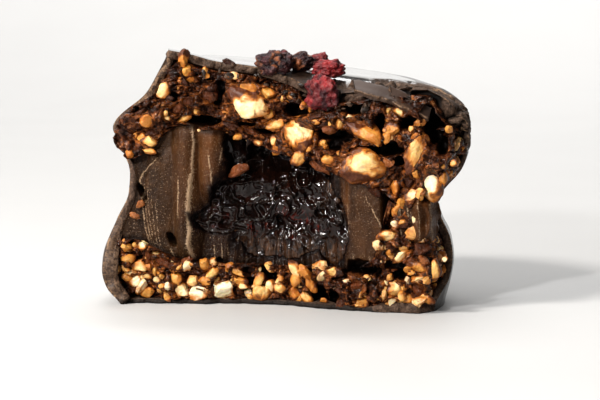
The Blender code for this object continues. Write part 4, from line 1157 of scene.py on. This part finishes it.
def coat(finish):
    """A closed shell: one outer grid from the broken line of the base, up the wall and over to the
    broken line of the top, an inner copy set in by the thickness, and a rough strip between them."""
    columns, base_rows, wall_rows = COAT_COLUMNS, COAT_BASE_ROWS, COAT_WALL_ROWS
    share = [np.linspace(0, 0.1, 14, endpoint=False), np.linspace(0.1, 1, wall_rows - 14)]
    share = np.concatenate(share)[:, None]
    place = crowded_ends(columns, 0.1, 0.2)[None, :]
    z = np.full((wall_rows, columns), WAIST_HEIGHT)
    for _ in range(8):
        right, left = coat_end(COAT_RIGHT_END, z, 81), coat_end(COAT_LEFT_END, z, 83)
        turn = right + (left - right) * place
        radius = wall_radius(turn, z)
        x = axis_shift(z) + radius * np.cos(turn)
        y = radius * np.sin(turn)
        z = top_height(x, y) * share
    wall = np.dstack([x, y, z])
    ripple = 0.16 * noise(turn * 5.5, z / 5.5, 0.5, 91) + 0.07 * noise(turn * 14, z / 2.4, 0.5, 92)
    foot = 1.5 * bump(z, 0.4, 1.1) * smooth(0.25, 0.5, turn) * smooth(2.9, 2.6, turn)
    outwards = np.dstack([np.cos(turn), np.sin(turn)])
    wall[:, :, :2] += (ripple + foot)[:, :, None] * outwards * smooth(1, 0.93, share)[:, :, None]
    base = flat_part(wall[0], columns, base_rows, lambda x, y: 0 * x, 1.0)[::-1]
    top = flat_part(wall[-1], columns, COAT_TOP_ROWS, top_height, 1.5)
    outer = np.concatenate([base, wall, top])
    high = base_rows + wall_rows

    normal = np.cross(np.gradient(outer, axis=1), np.gradient(outer, axis=0))
    normal[:base_rows] = (0, 0, -1)
    x, y, z_top = np.moveaxis(top, 2, 0)
    slope_x = (top_height(x + 0.2, y) - z_top) / 0.2
    slope_y = (top_height(x, y + 0.2) - z_top) / 0.2
    normal[high:] = np.dstack([-slope_x, -slope_y, 1 + 0 * slope_x])
    normal /= np.linalg.norm(normal, axis=2, keepdims=True) + 1e-9
    thick = np.full(outer.shape[:2], COAT_THICKNESS)
    thick[:base_rows] = COAT_BASE + 0.9 * smooth(16.5, 19.5, outer[:base_rows, :, 0])
    thick[base_rows:high] = coat_thickness(turn, z) + 1.3 * bump(z, 6, 7) * smooth(3.1, 3.35, turn)
    thick[high:] = coat_thickness(turn[-1], z[-1])[None, :]
    inner = outer - normal * thick[:, :, None]
    inner[:, :, 2] = np.maximum(inner[:, :, 2], COAT_BASE)
    inner[:base_rows, :, :2] = outer[:base_rows, :, :2] * 0.965
    inner[:base_rows, :, 2] = thick[:base_rows]
    places = np.moveaxis(outer, 2, 0)
    dome = dome_share(*places)
    dome_depth = dome * dome_relief(*places)
    outer = outer + normal * dome_depth[:, :, None]

    strip, dug, cave = coat_rim(outer, inner)
    count = outer.shape[0] * columns
    points = np.vstack([outer.reshape(-1, 3), inner.reshape(-1, 3), strip.reshape(-1, 3)])
    faces = [
        grid_faces(outer.shape[0], columns),
        grid_faces(outer.shape[0], columns, first=count)[:, ::-1],
        grid_faces(*strip.shape[:2], wrap=True, first=2 * count),
    ]
    tags = coat_tags(outer, top, dome, dome_depth, strip, dug, cave)
    make("coat_shell", points, faces, finish, "chocolate", ("chocolate_coat",), weld=0.004, **tags)


def plate(name, finish, shape, nodes=()):
    """A snapped plate: a crisp oblong section carried along its length, bent as the dome was, with
    crumbling edges."""
    (length, width, thickness), centre, tilt, fall = shape
    steps = np.linspace(-1, 1, 170)[:, None]
    steps = np.sign(steps) * (1 - (1 - np.abs(steps)) ** 1.8)
    turn = 2 * math.pi * (np.arange(64) + 0.5)[None, :] / 64
    across = np.sign(np.cos(turn)) * np.abs(np.cos(turn)) ** 0.16
    up = np.sign(np.sin(turn)) * np.abs(np.sin(turn)) ** 0.22
    taper = (1 - np.abs(steps) ** 60) ** 0.3
    x = steps * length / 2 + 0.8 * across * smooth(0.2, 1, np.abs(steps)) * np.sign(steps) * (steps < 0)
    y = across * width / 2 * taper * (1 - 0.22 * smooth(0.1, 1.0, steps))
    z = up * thickness / 2 * (0.2 + 0.8 * taper)
    rim = smooth(0.78, 1.0, np.maximum(np.abs(across), np.abs(steps) ** 4))
    ragged = layers_of_noise((x + centre[0]) / 0.9, z / 0.8, np.sign(y), 101, 3)
    y = y + (0.25 * np.sin(0.9 * x) * (y < 0) + 0.22 * ragged * np.sign(y)) * rim
    z = z + 0.06 * layers_of_noise(x / 0.8, y / 0.8, 0.5, 103, 2) * rim - PLATE_BEND * x**2
    x = x + 0.35 * noise(y / 0.9, z / 0.9, np.sign(x), 102) * smooth(0.85, 1, np.abs(steps))
    tilt, fall = math.radians(tilt), math.radians(fall)
    ct, st, cf, sf = math.cos(tilt), math.sin(tilt), math.cos(fall), math.sin(fall)
    y, z = y * ct - z * st, y * st + z * ct
    x, z = x * cf + z * sf, z * cf - x * sf
    edge = smooth(0.55, 0.15, np.abs(up) + 0 * steps) * (np.abs(across) > 0.9)
    lip = np.maximum(edge, smooth(0.95, 0.99, np.abs(steps)) + 0 * across)
    line = 0.7 * (0.8 * bump(up, 0.75, 0.2) * (across < -0.8) + 0 * steps)
    make(name, *capped_rings(np.dstack([x, y, z]) + np.array(centre)), finish, "broken_chocolate", nodes,
         broken=with_ends(np.clip(lip, 0, 1), 1), line=with_ends(line), plate=np.ones(line.size + 2))


# --- Pieces in the bite ---


def scraps(finish, draw):
    """Flakes of the coat that hang in the bite under its broken rim."""
    x, z = np.array(LARGE_FLAKES, float).T
    more_x = draw.uniform(-13, 26, SMALL_FLAKES)
    x = np.concatenate([x, more_x])
    more_z = top_height(more_x, bite_y(more_x)) - draw.uniform(1.2, 3.4, SMALL_FLAKES)
    z = np.concatenate([z, more_z])
    length = [draw.uniform(1.6, 2.4, len(LARGE_FLAKES)), draw.uniform(0.5, 1.4, SMALL_FLAKES)]
    length = np.concatenate(length)
    size = np.column_stack([length, 0.42 * length, 0.7 * length])
    places = np.column_stack([x, np.minimum(upper_front(x, z), bite_y(x)) - 0.3, z])
    world, faces = chopped(places, size, turned(draw, len(x)), draw, 12, 18, 7, 18.0, 0.12)
    broken = smooth(-0.3, 0.2, noise(*(np.moveaxis(world, 2, 0) / 1.1), 117))
    make("coat_flakes", world.reshape(-1, 3), faces, finish, "broken_chocolate",
         broken=broken, line=0 * broken)


def turned(draw, count):
    """Random turns in space, as matrices made from four-part numbers of unit length."""
    a, b, c, d = draw.normal(size=(count, 4)).T
    size = np.sqrt(a * a + b * b + c * c + d * d)
    a, b, c, d = a / size, b / size, c / size, d / size
    rows = [
        [1 - 2 * (c * c + d * d), 2 * (b * c - a * d), 2 * (b * d + a * c)],
        [2 * (b * c + a * d), 1 - 2 * (b * b + d * d), 2 * (c * d - a * b)],
        [2 * (b * d - a * c), 2 * (c * d + a * b), 1 - 2 * (b * b + c * c)],
    ]
    return np.moveaxis(np.array(rows), 2, 0)


def leaned(tilts):
    """Turns about the Y axis by degrees, as matrices."""
    lean = -np.radians(tilts)
    zero, one = np.zeros(len(lean)), np.ones(len(lean))
    rows = [[np.cos(lean), zero, np.sin(lean)], [zero, one, zero], [-np.sin(lean), zero, np.cos(lean)]]
    return np.moveaxis(np.array(rows), 2, 0)


def chopped(places, sizes, turns, draw, rows, columns, cuts=9, sharpness=16.0, lumps=0.05):
    """Chopped bits: each is an ellipsoid cut by random planes. Along a direction its surface is as far
    out as the nearest plane allows, with the edges a little rounded, times a slow noise."""
    count = len(places)
    direction = sphere_grid(rows, columns).reshape(-1, 3)
    direction = np.vstack([direction, [(0, 0, -1)], [(0, 0, 1)]])
    planes = draw.normal(size=(count, cuts, 3))
    planes /= np.linalg.norm(planes, axis=2, keepdims=True)
    reach = draw.uniform(0.42, 0.9, (count, cuts))
    facing = np.maximum(np.einsum("vk,nck->nvc", direction, planes), 0) / reach[:, None, :]
    radius = (1 + (facing**sharpness).sum(axis=2)) ** (-1 / sharpness)
    shift = draw.uniform(0, 40, (count, 1))
    dx, dy, dz = 2.2 * direction.T
    radius = radius * (1 + lumps * layers_of_noise(dx + shift, dy, dz + shift, 111, 3))
    half = (sizes / 2)[:, None, :]
    local = direction[None] * radius[:, :, None] * half
    local = local / np.abs(local).max(axis=1, keepdims=True) * half
    world = np.einsum("nij,nvj->nvi", turns, local) + places[:, None, :]
    quads = grid_faces(rows, columns, wrap=True)
    ring = np.arange(columns)
    low = fan_faces(rows * columns, ring)
    high = fan_faces(rows * columns + 1, ring + (rows - 1) * columns)
    step = len(direction) * np.arange(count)[:, None, None]
    faces = [(block[None] + step).reshape(-1, block.shape[1]) for block in (quads, low, high)]
    return world, faces


def big_nuts(name, sites, front, finish, draw):
    """The nut pieces that can be told apart in the bite. The stain is deepest on each one's brown side,
    and where it sinks into the paste."""
    x, z, length, width, tilt, tone, rim, side = np.array(sites, float).T
    z = np.maximum(z, 0.7 + 0.5 * width)
    places = np.column_stack([x, front(x, z) + 0.06 * width, z])
    sizes = np.column_stack([length, 0.8 * width, width]) * 1.28
    world, faces = chopped(places, sizes, leaned(tilt), draw, 24, 44, 7, 30.0, 0.09)
    wx, wy, wz = np.moveaxis(world, 2, 0)
    side = np.radians(side)[:, None]
    half = (length + width)[:, None] / 4
    to_side = ((wx - x[:, None]) * np.cos(side) + (wz - z[:, None]) * np.sin(side)) / half
    deep = (wy - places[:, 1:2]) / width[:, None]
    blotches = layers_of_noise(wx / 1.3, wy / 1.3, wz / 1.3, 113, 3)
    round_rim = np.hypot(wx - x[:, None], wz - z[:, None]) / half + 0.3 * blotches
    brown_side = 0.95 * smooth(-0.25, 0.75, to_side + 0.45 * blotches)
    stain = rim[:, None] * (0.5 * smooth(-0.36, 0.05, deep) + brown_side)
    stain = stain + 0.45 * smooth(0.55, 1.25, round_rim)
    shade = tone[:, None] - 0.2 * smooth(-0.2, 0.4, deep) + 0.10 * noise(wx / 2, wy / 2, wz / 2, 114)
    make(name, world.reshape(-1, 3), faces, finish, "biscuit",
         stain=np.clip(stain, 0, 1), tone=np.clip(shade, 0, 1))


def spread(draw, spacing, low, high):
    """Places on a jittered grid in the bite between two heights that are functions of x. Every second
    column is half a space higher."""
    x, z = np.meshgrid(np.arange(*CHIP_RANGE, spacing), np.arange(0, 44, spacing * 0.9), indexing="ij")
    x = x + spacing * draw.uniform(-CHIP_JITTER, CHIP_JITTER, x.shape)
    lift = 0.5 * (np.arange(len(x)) % 2)[:, None]
    z = z + spacing * (draw.uniform(-CHIP_JITTER, CHIP_JITTER, x.shape) + lift)
    inside = (z > low(x)) & (z < high(x))
    return x[inside], z[inside]


def clear_of(x, z, sites):
    """Which places lie further from every big piece than a quarter of its length and width together."""
    site_x, site_z, length, width = np.array([site[:4] for site in sites]).T
    away = np.hypot(x[:, None] - site_x, z[:, None] - site_z)
    return (away > (length + width) / 4).all(axis=1)


def between_walls(x, z, margin=1.6):
    """Which places lie between the left and the right end of the bite, with a margin."""
    left, right = (
        axis_shift(z) + wall_radius(np.full(len(z), end), z) * math.cos(end) for end in (LEFT_END, RIGHT_END)
    )
    return (x < right - margin) & (x > left + margin)


def small_bits(places, length, draw, kind):
    """Chopped bits a little narrower and flatter than long, and the tone of each, spread as kind says."""
    count = len(length)
    width, height = (length * draw.uniform(*limits, count) for limits in ((0.55, 0.9), (0.45, 0.8)))
    size = np.column_stack([length, width, height])
    world, faces = chopped(places, size, turned(draw, count), draw, 6, 9, 5, 22.0, 0.12)
    middle, spread_out, least, most = kind
    return world, faces, np.clip(draw.normal(middle, spread_out, count), least, most)[:, None]


def chips(name, spacing, layer, finish, sizes, kind, keep, draw):
    """Small chopped bits pressed into the bite between the big pieces. The stain is deeper where they
    sink into the paste."""
    low, high, front, big = layer
    x, z = spread(draw, spacing, low, high)
    kept = clear_of(x, z, big) & (draw.random(len(x)) < keep) & (hollows(x, z) < 1.0)
    kept = kept & between_walls(x, z)
    x, z = x[kept], z[kept]
    length = draw.uniform(*sizes, len(x))
    y = front(x, z) + bite_crumb(x, z) * 0.9 + 0.16 * length
    world, faces, tone = small_bits(np.column_stack([x, y, z]), length, draw, kind)
    deep = smooth(-0.3, 0.3, (world[:, :, 1] - y[:, None]) / length[:, None])
    make(name, world.reshape(-1, 3), faces, finish, "biscuit", crease=CHIP_CREASE,
         tone=tone + 0 * deep, stain=np.clip(0.28 + 0.75 * deep, 0, 1))


def wall_chips(finish, draw):
    """Chopped bits on the crumb's bare wall at the right, between the bite and the edge of the coat."""
    z, turn = draw.uniform(2.5, 30, WALL_CHIPS), np.radians(draw.uniform(-13.5, -2.5, WALL_CHIPS))
    radius = wall_radius(turn, z) - coat_thickness(turn, z) - 0.25
    length = draw.uniform(0.9, 2.3, WALL_CHIPS)
    places = np.column_stack([axis_shift(z) + radius * np.cos(turn), radius * np.sin(turn), z])
    world, faces, tone = small_bits(places, length, draw, GOLDEN)
    stain = 0.3 + 0.5 * smooth(-0.2, 0.4, noise(*(np.moveaxis(world, 2, 0) / 0.9), 118))
    make("wall_chips", world.reshape(-1, 3), faces, finish, "biscuit", crease=CHIP_CREASE,
         tone=np.clip(tone + 0.15 + 0 * stain, 0, 1), stain=stain)


def date_chunks(finish, draw):
    """The larger pieces of chopped date."""
    x, z, length, width, tilt, tone = np.array(DATE_CHUNKS, float).T
    front = np.where(z < WAIST_HEIGHT, lower_front(x, z), upper_front(x, z))
    places = np.column_stack([x, front + 0.25 * width, z])
    sizes = np.column_stack([length, 0.9 * width, width]) * 1.1
    world, faces = chopped(places, sizes, leaned(tilt), draw, 18, 34, 6, 6.0, 0.22)
    tone = np.repeat(tone, world.shape[1])
    make("date_chunks", world.reshape(-1, 3), faces, finish, "biscuit", tone=tone)


# --- Berries ---


def even_directions(draw, count):
    """Random directions that push each other apart until they are spread evenly over a ball."""
    ways = draw.normal(size=(count, 3))
    for _ in range(30):
        ways /= np.linalg.norm(ways, axis=1, keepdims=True)
        gap = ways[:, None] - ways[None]
        far = (gap**2).sum(axis=2) + np.eye(count) * 9
        ways = ways + 0.02 * (gap / far[:, :, None] ** 1.5).sum(axis=1)
    return ways / np.linalg.norm(ways, axis=1, keepdims=True)


def berries(finish):
    """Each berry: an ellipsoid whose radius rises over every drupelet in a dome and falls between them."""
    direction = sphere_grid(56, 96)
    flat = direction.reshape(-1, 3)
    for number, (x, y, z, half_size, turn, tone) in enumerate(BERRIES):
        knobs = even_directions(np.random.default_rng(100 + number), DRUPELETS)
        away = np.arccos(np.clip(flat @ knobs.T, -1, 1)).min(axis=1)
        dome = np.sqrt(np.clip(1 - (away / DRUPELET_ANGLE) ** 2, 0, 1))
        crumple = layers_of_noise(*(2.4 * flat.T), 121 + number, 4)
        radius = 0.86 + 0.12 * dome + 0.20 * crumple
        local = flat * radius[:, None] * np.array(half_size)
        ct, st = math.cos(math.radians(turn)), math.sin(math.radians(turn))
        local = local @ np.array([[ct, st, 0], [-st, ct, 0], [0, 0, 1]])
        # The tone falls by a quarter between the drupelets: painted shade in the creases.
        own = tone + 0.25 * noise(*(1.7 * flat.T), 141 + number) - 0.25 * (1 - dome)
        make(f"dried_berry_{number + 1}", *capped_rings((local + (x, y, z)).reshape(direction.shape)),
             finish, "berry", (f"berry_{number + 1}",),
             tone=np.clip(with_ends(own, tone), 0, 1), crown=with_ends(dome))


# --- Floor, light and camera ---


def stage():
    """A pale floor that curves up into the backdrop, made as one sheet: flat, then a parabola."""
    look = Finish("pale_floor", Roughness=0.6)
    colour = look.blend(look.cloud(40.0, 2.0), (0.50, 0.495, 0.487), (0.53, 0.524, 0.515))
    finish = look.wear(Base_Color=colour)
    x, y = np.linspace(-900, 900, 13), np.linspace(-500, 1000, 60)
    x, y = np.meshgrid(x, y)
    z = 420 * np.clip((y - 350) / 500, 0, None) ** 2 - 0.02
    grid = np.dstack([x, y, z])
    make("floor", grid.reshape(-1, 3), [grid_faces(*x.shape)], finish)


def softbox(name, place, aim, size, power, colour=(1, 1, 1)):
    """An area light that looks at a point. Places and sizes are in metres."""
    lamp = bpy.data.lights.new(name, "AREA")
    lamp.shape = "RECTANGLE"
    lamp.size, lamp.size_y = size
    lamp.energy = power
    lamp.color = colour
    holder = bpy.data.objects.new(name, lamp)
    holder.location = place
    holder.rotation_euler = (Vector(aim) - Vector(place)).to_track_quat("-Z", "Y").to_euler()
    bpy.context.scene.collection.objects.link(holder)


def light_and_camera():
    """Even light all round, a key light with a small glint, a fill, a top light, a wash on the backdrop,
    and a long lens a little to the right of the front and above."""
    world = bpy.data.worlds.new("studio")
    world.use_nodes = True
    backing = world.node_tree.nodes["Background"]
    backing.inputs["Color"].default_value = (1, 1, 1, 1)
    backing.inputs["Strength"].default_value = 0.10
    bpy.context.scene.world = world
    cake, backdrop = (0, 0, 0.02), (0, 1.0, 0)
    softbox("key", (-0.24, -0.26, 0.36), cake, (0.08, 0.08), 2.35, (1, 0.97, 0.93))
    softbox("glint", (-0.12, -0.35, 0.17), cake, (0.024, 0.024), 1.05)
    softbox("left_fill", (-0.50, -0.12, 0.10), cake, (0.25, 0.25), 0.45)
    softbox("top", (-0.08, 0.10, 0.55), cake, (0.35, 0.30), 0.8)
    softbox("backdrop_wash", (0, 0.50, 0.75), backdrop, (0.9, 0.4), 8.2)

    turn, rise, away = math.radians(11.0), math.radians(7.0), 0.39
    right = Vector((math.cos(turn), math.sin(turn), 0))
    aim = Vector((0, -0.010, 0.0170)) + right * 0.0022
    back = Vector((math.sin(turn) * math.cos(rise), -math.cos(turn) * math.cos(rise), math.sin(rise)))
    lens = bpy.data.cameras.new("view")
    lens.lens, lens.sensor_width, lens.clip_start = 140, 36, 0.01
    holder = bpy.data.objects.new("view", lens)
    holder.location = aim + back * away
    holder.rotation_euler = (-back).to_track_quat("-Z", "Y").to_euler()
    scene = bpy.context.scene
    scene.collection.objects.link(holder)
    scene.camera = holder
    scene.view_settings.view_transform = "Standard"
    scene.view_settings.look = "Medium High Contrast"


def main():
    """Makes the cake from the coat inwards, then the pieces in the bite, the berries and the studio."""
    chocolate, paste, date = chocolate_finish(), paste_finish(), date_finish()
    nut, fine_nut = nut_finish("big_nut", 0.45), nut_finish("chopped_nut", 0.3)
    coat(chocolate)
    plate("snapped_plate", chocolate, SNAPPED_PLATE, ("chocolate_shard",))
    plate("small_plate", chocolate, SMALL_PLATE)
    scraps(chocolate, np.random.default_rng(17))
    biscuit("lower_biscuit", lambda x, y: COAT_BASE + 0.1 + 0 * x, lower_top_seen, lower_front, paste)
    biscuit("upper_biscuit", upper_biscuit_base, upper_top, upper_front, paste)
    soft = caramel_finish()
    caramel(soft)
    pulled_caramel(soft)
    jam(jam_finish())
    big_nuts("big_nuts_upper", UPPER_NUTS, upper_front, nut, np.random.default_rng(5))
    big_nuts("big_nuts_lower", LOWER_NUTS, lower_front, nut, np.random.default_rng(8))
    draw = np.random.default_rng(31)
    date_chunks(date, draw)
    # For each layer: the lowest and highest place of a bit at x, the bite, and the big pieces in it.
    lower = (
        lambda x: 1.5 + 0 * x, lambda x: lower_top_seen(x, bite_y(x)) + 0.5,
        lower_front, LOWER_NUTS + DATE_CHUNKS,
    )
    upper = (
        lambda x: upper_biscuit_base(x, bite_y(x)) - 0.5, lambda x: top_height(x, bite_y(x)) - 2.0,
        upper_front, UPPER_NUTS + DATE_CHUNKS,
    )
    # Name, spacing, layer, finish, least and greatest length, tones, and the share that is kept.
    for row in (
        ("pale_chips_lower", 2.5, lower, fine_nut, (1.7, 3.4), PALE, 0.8),
        ("golden_chips_lower", 1.7, lower, fine_nut, (0.9, 2.1), PALE, 0.4),
        ("date_bits_lower", 2.1, lower, date, (1.4, 3.2), DATE, 0.28),
        ("pale_chips_upper", 2.9, upper, fine_nut, (1.4, 2.9), GOLDEN, 0.30),
        ("golden_chips_upper", 1.8, upper, fine_nut, (0.7, 1.8), GOLDEN, 0.18),
        ("date_bits_upper", 2.3, upper, date, (1.5, 3.4), DATE, 0.26),
    ):
        chips(*row, draw)
    wall_chips(fine_nut, draw)
    berries(berry_finish())
    stage()
    light_and_camera()


main()
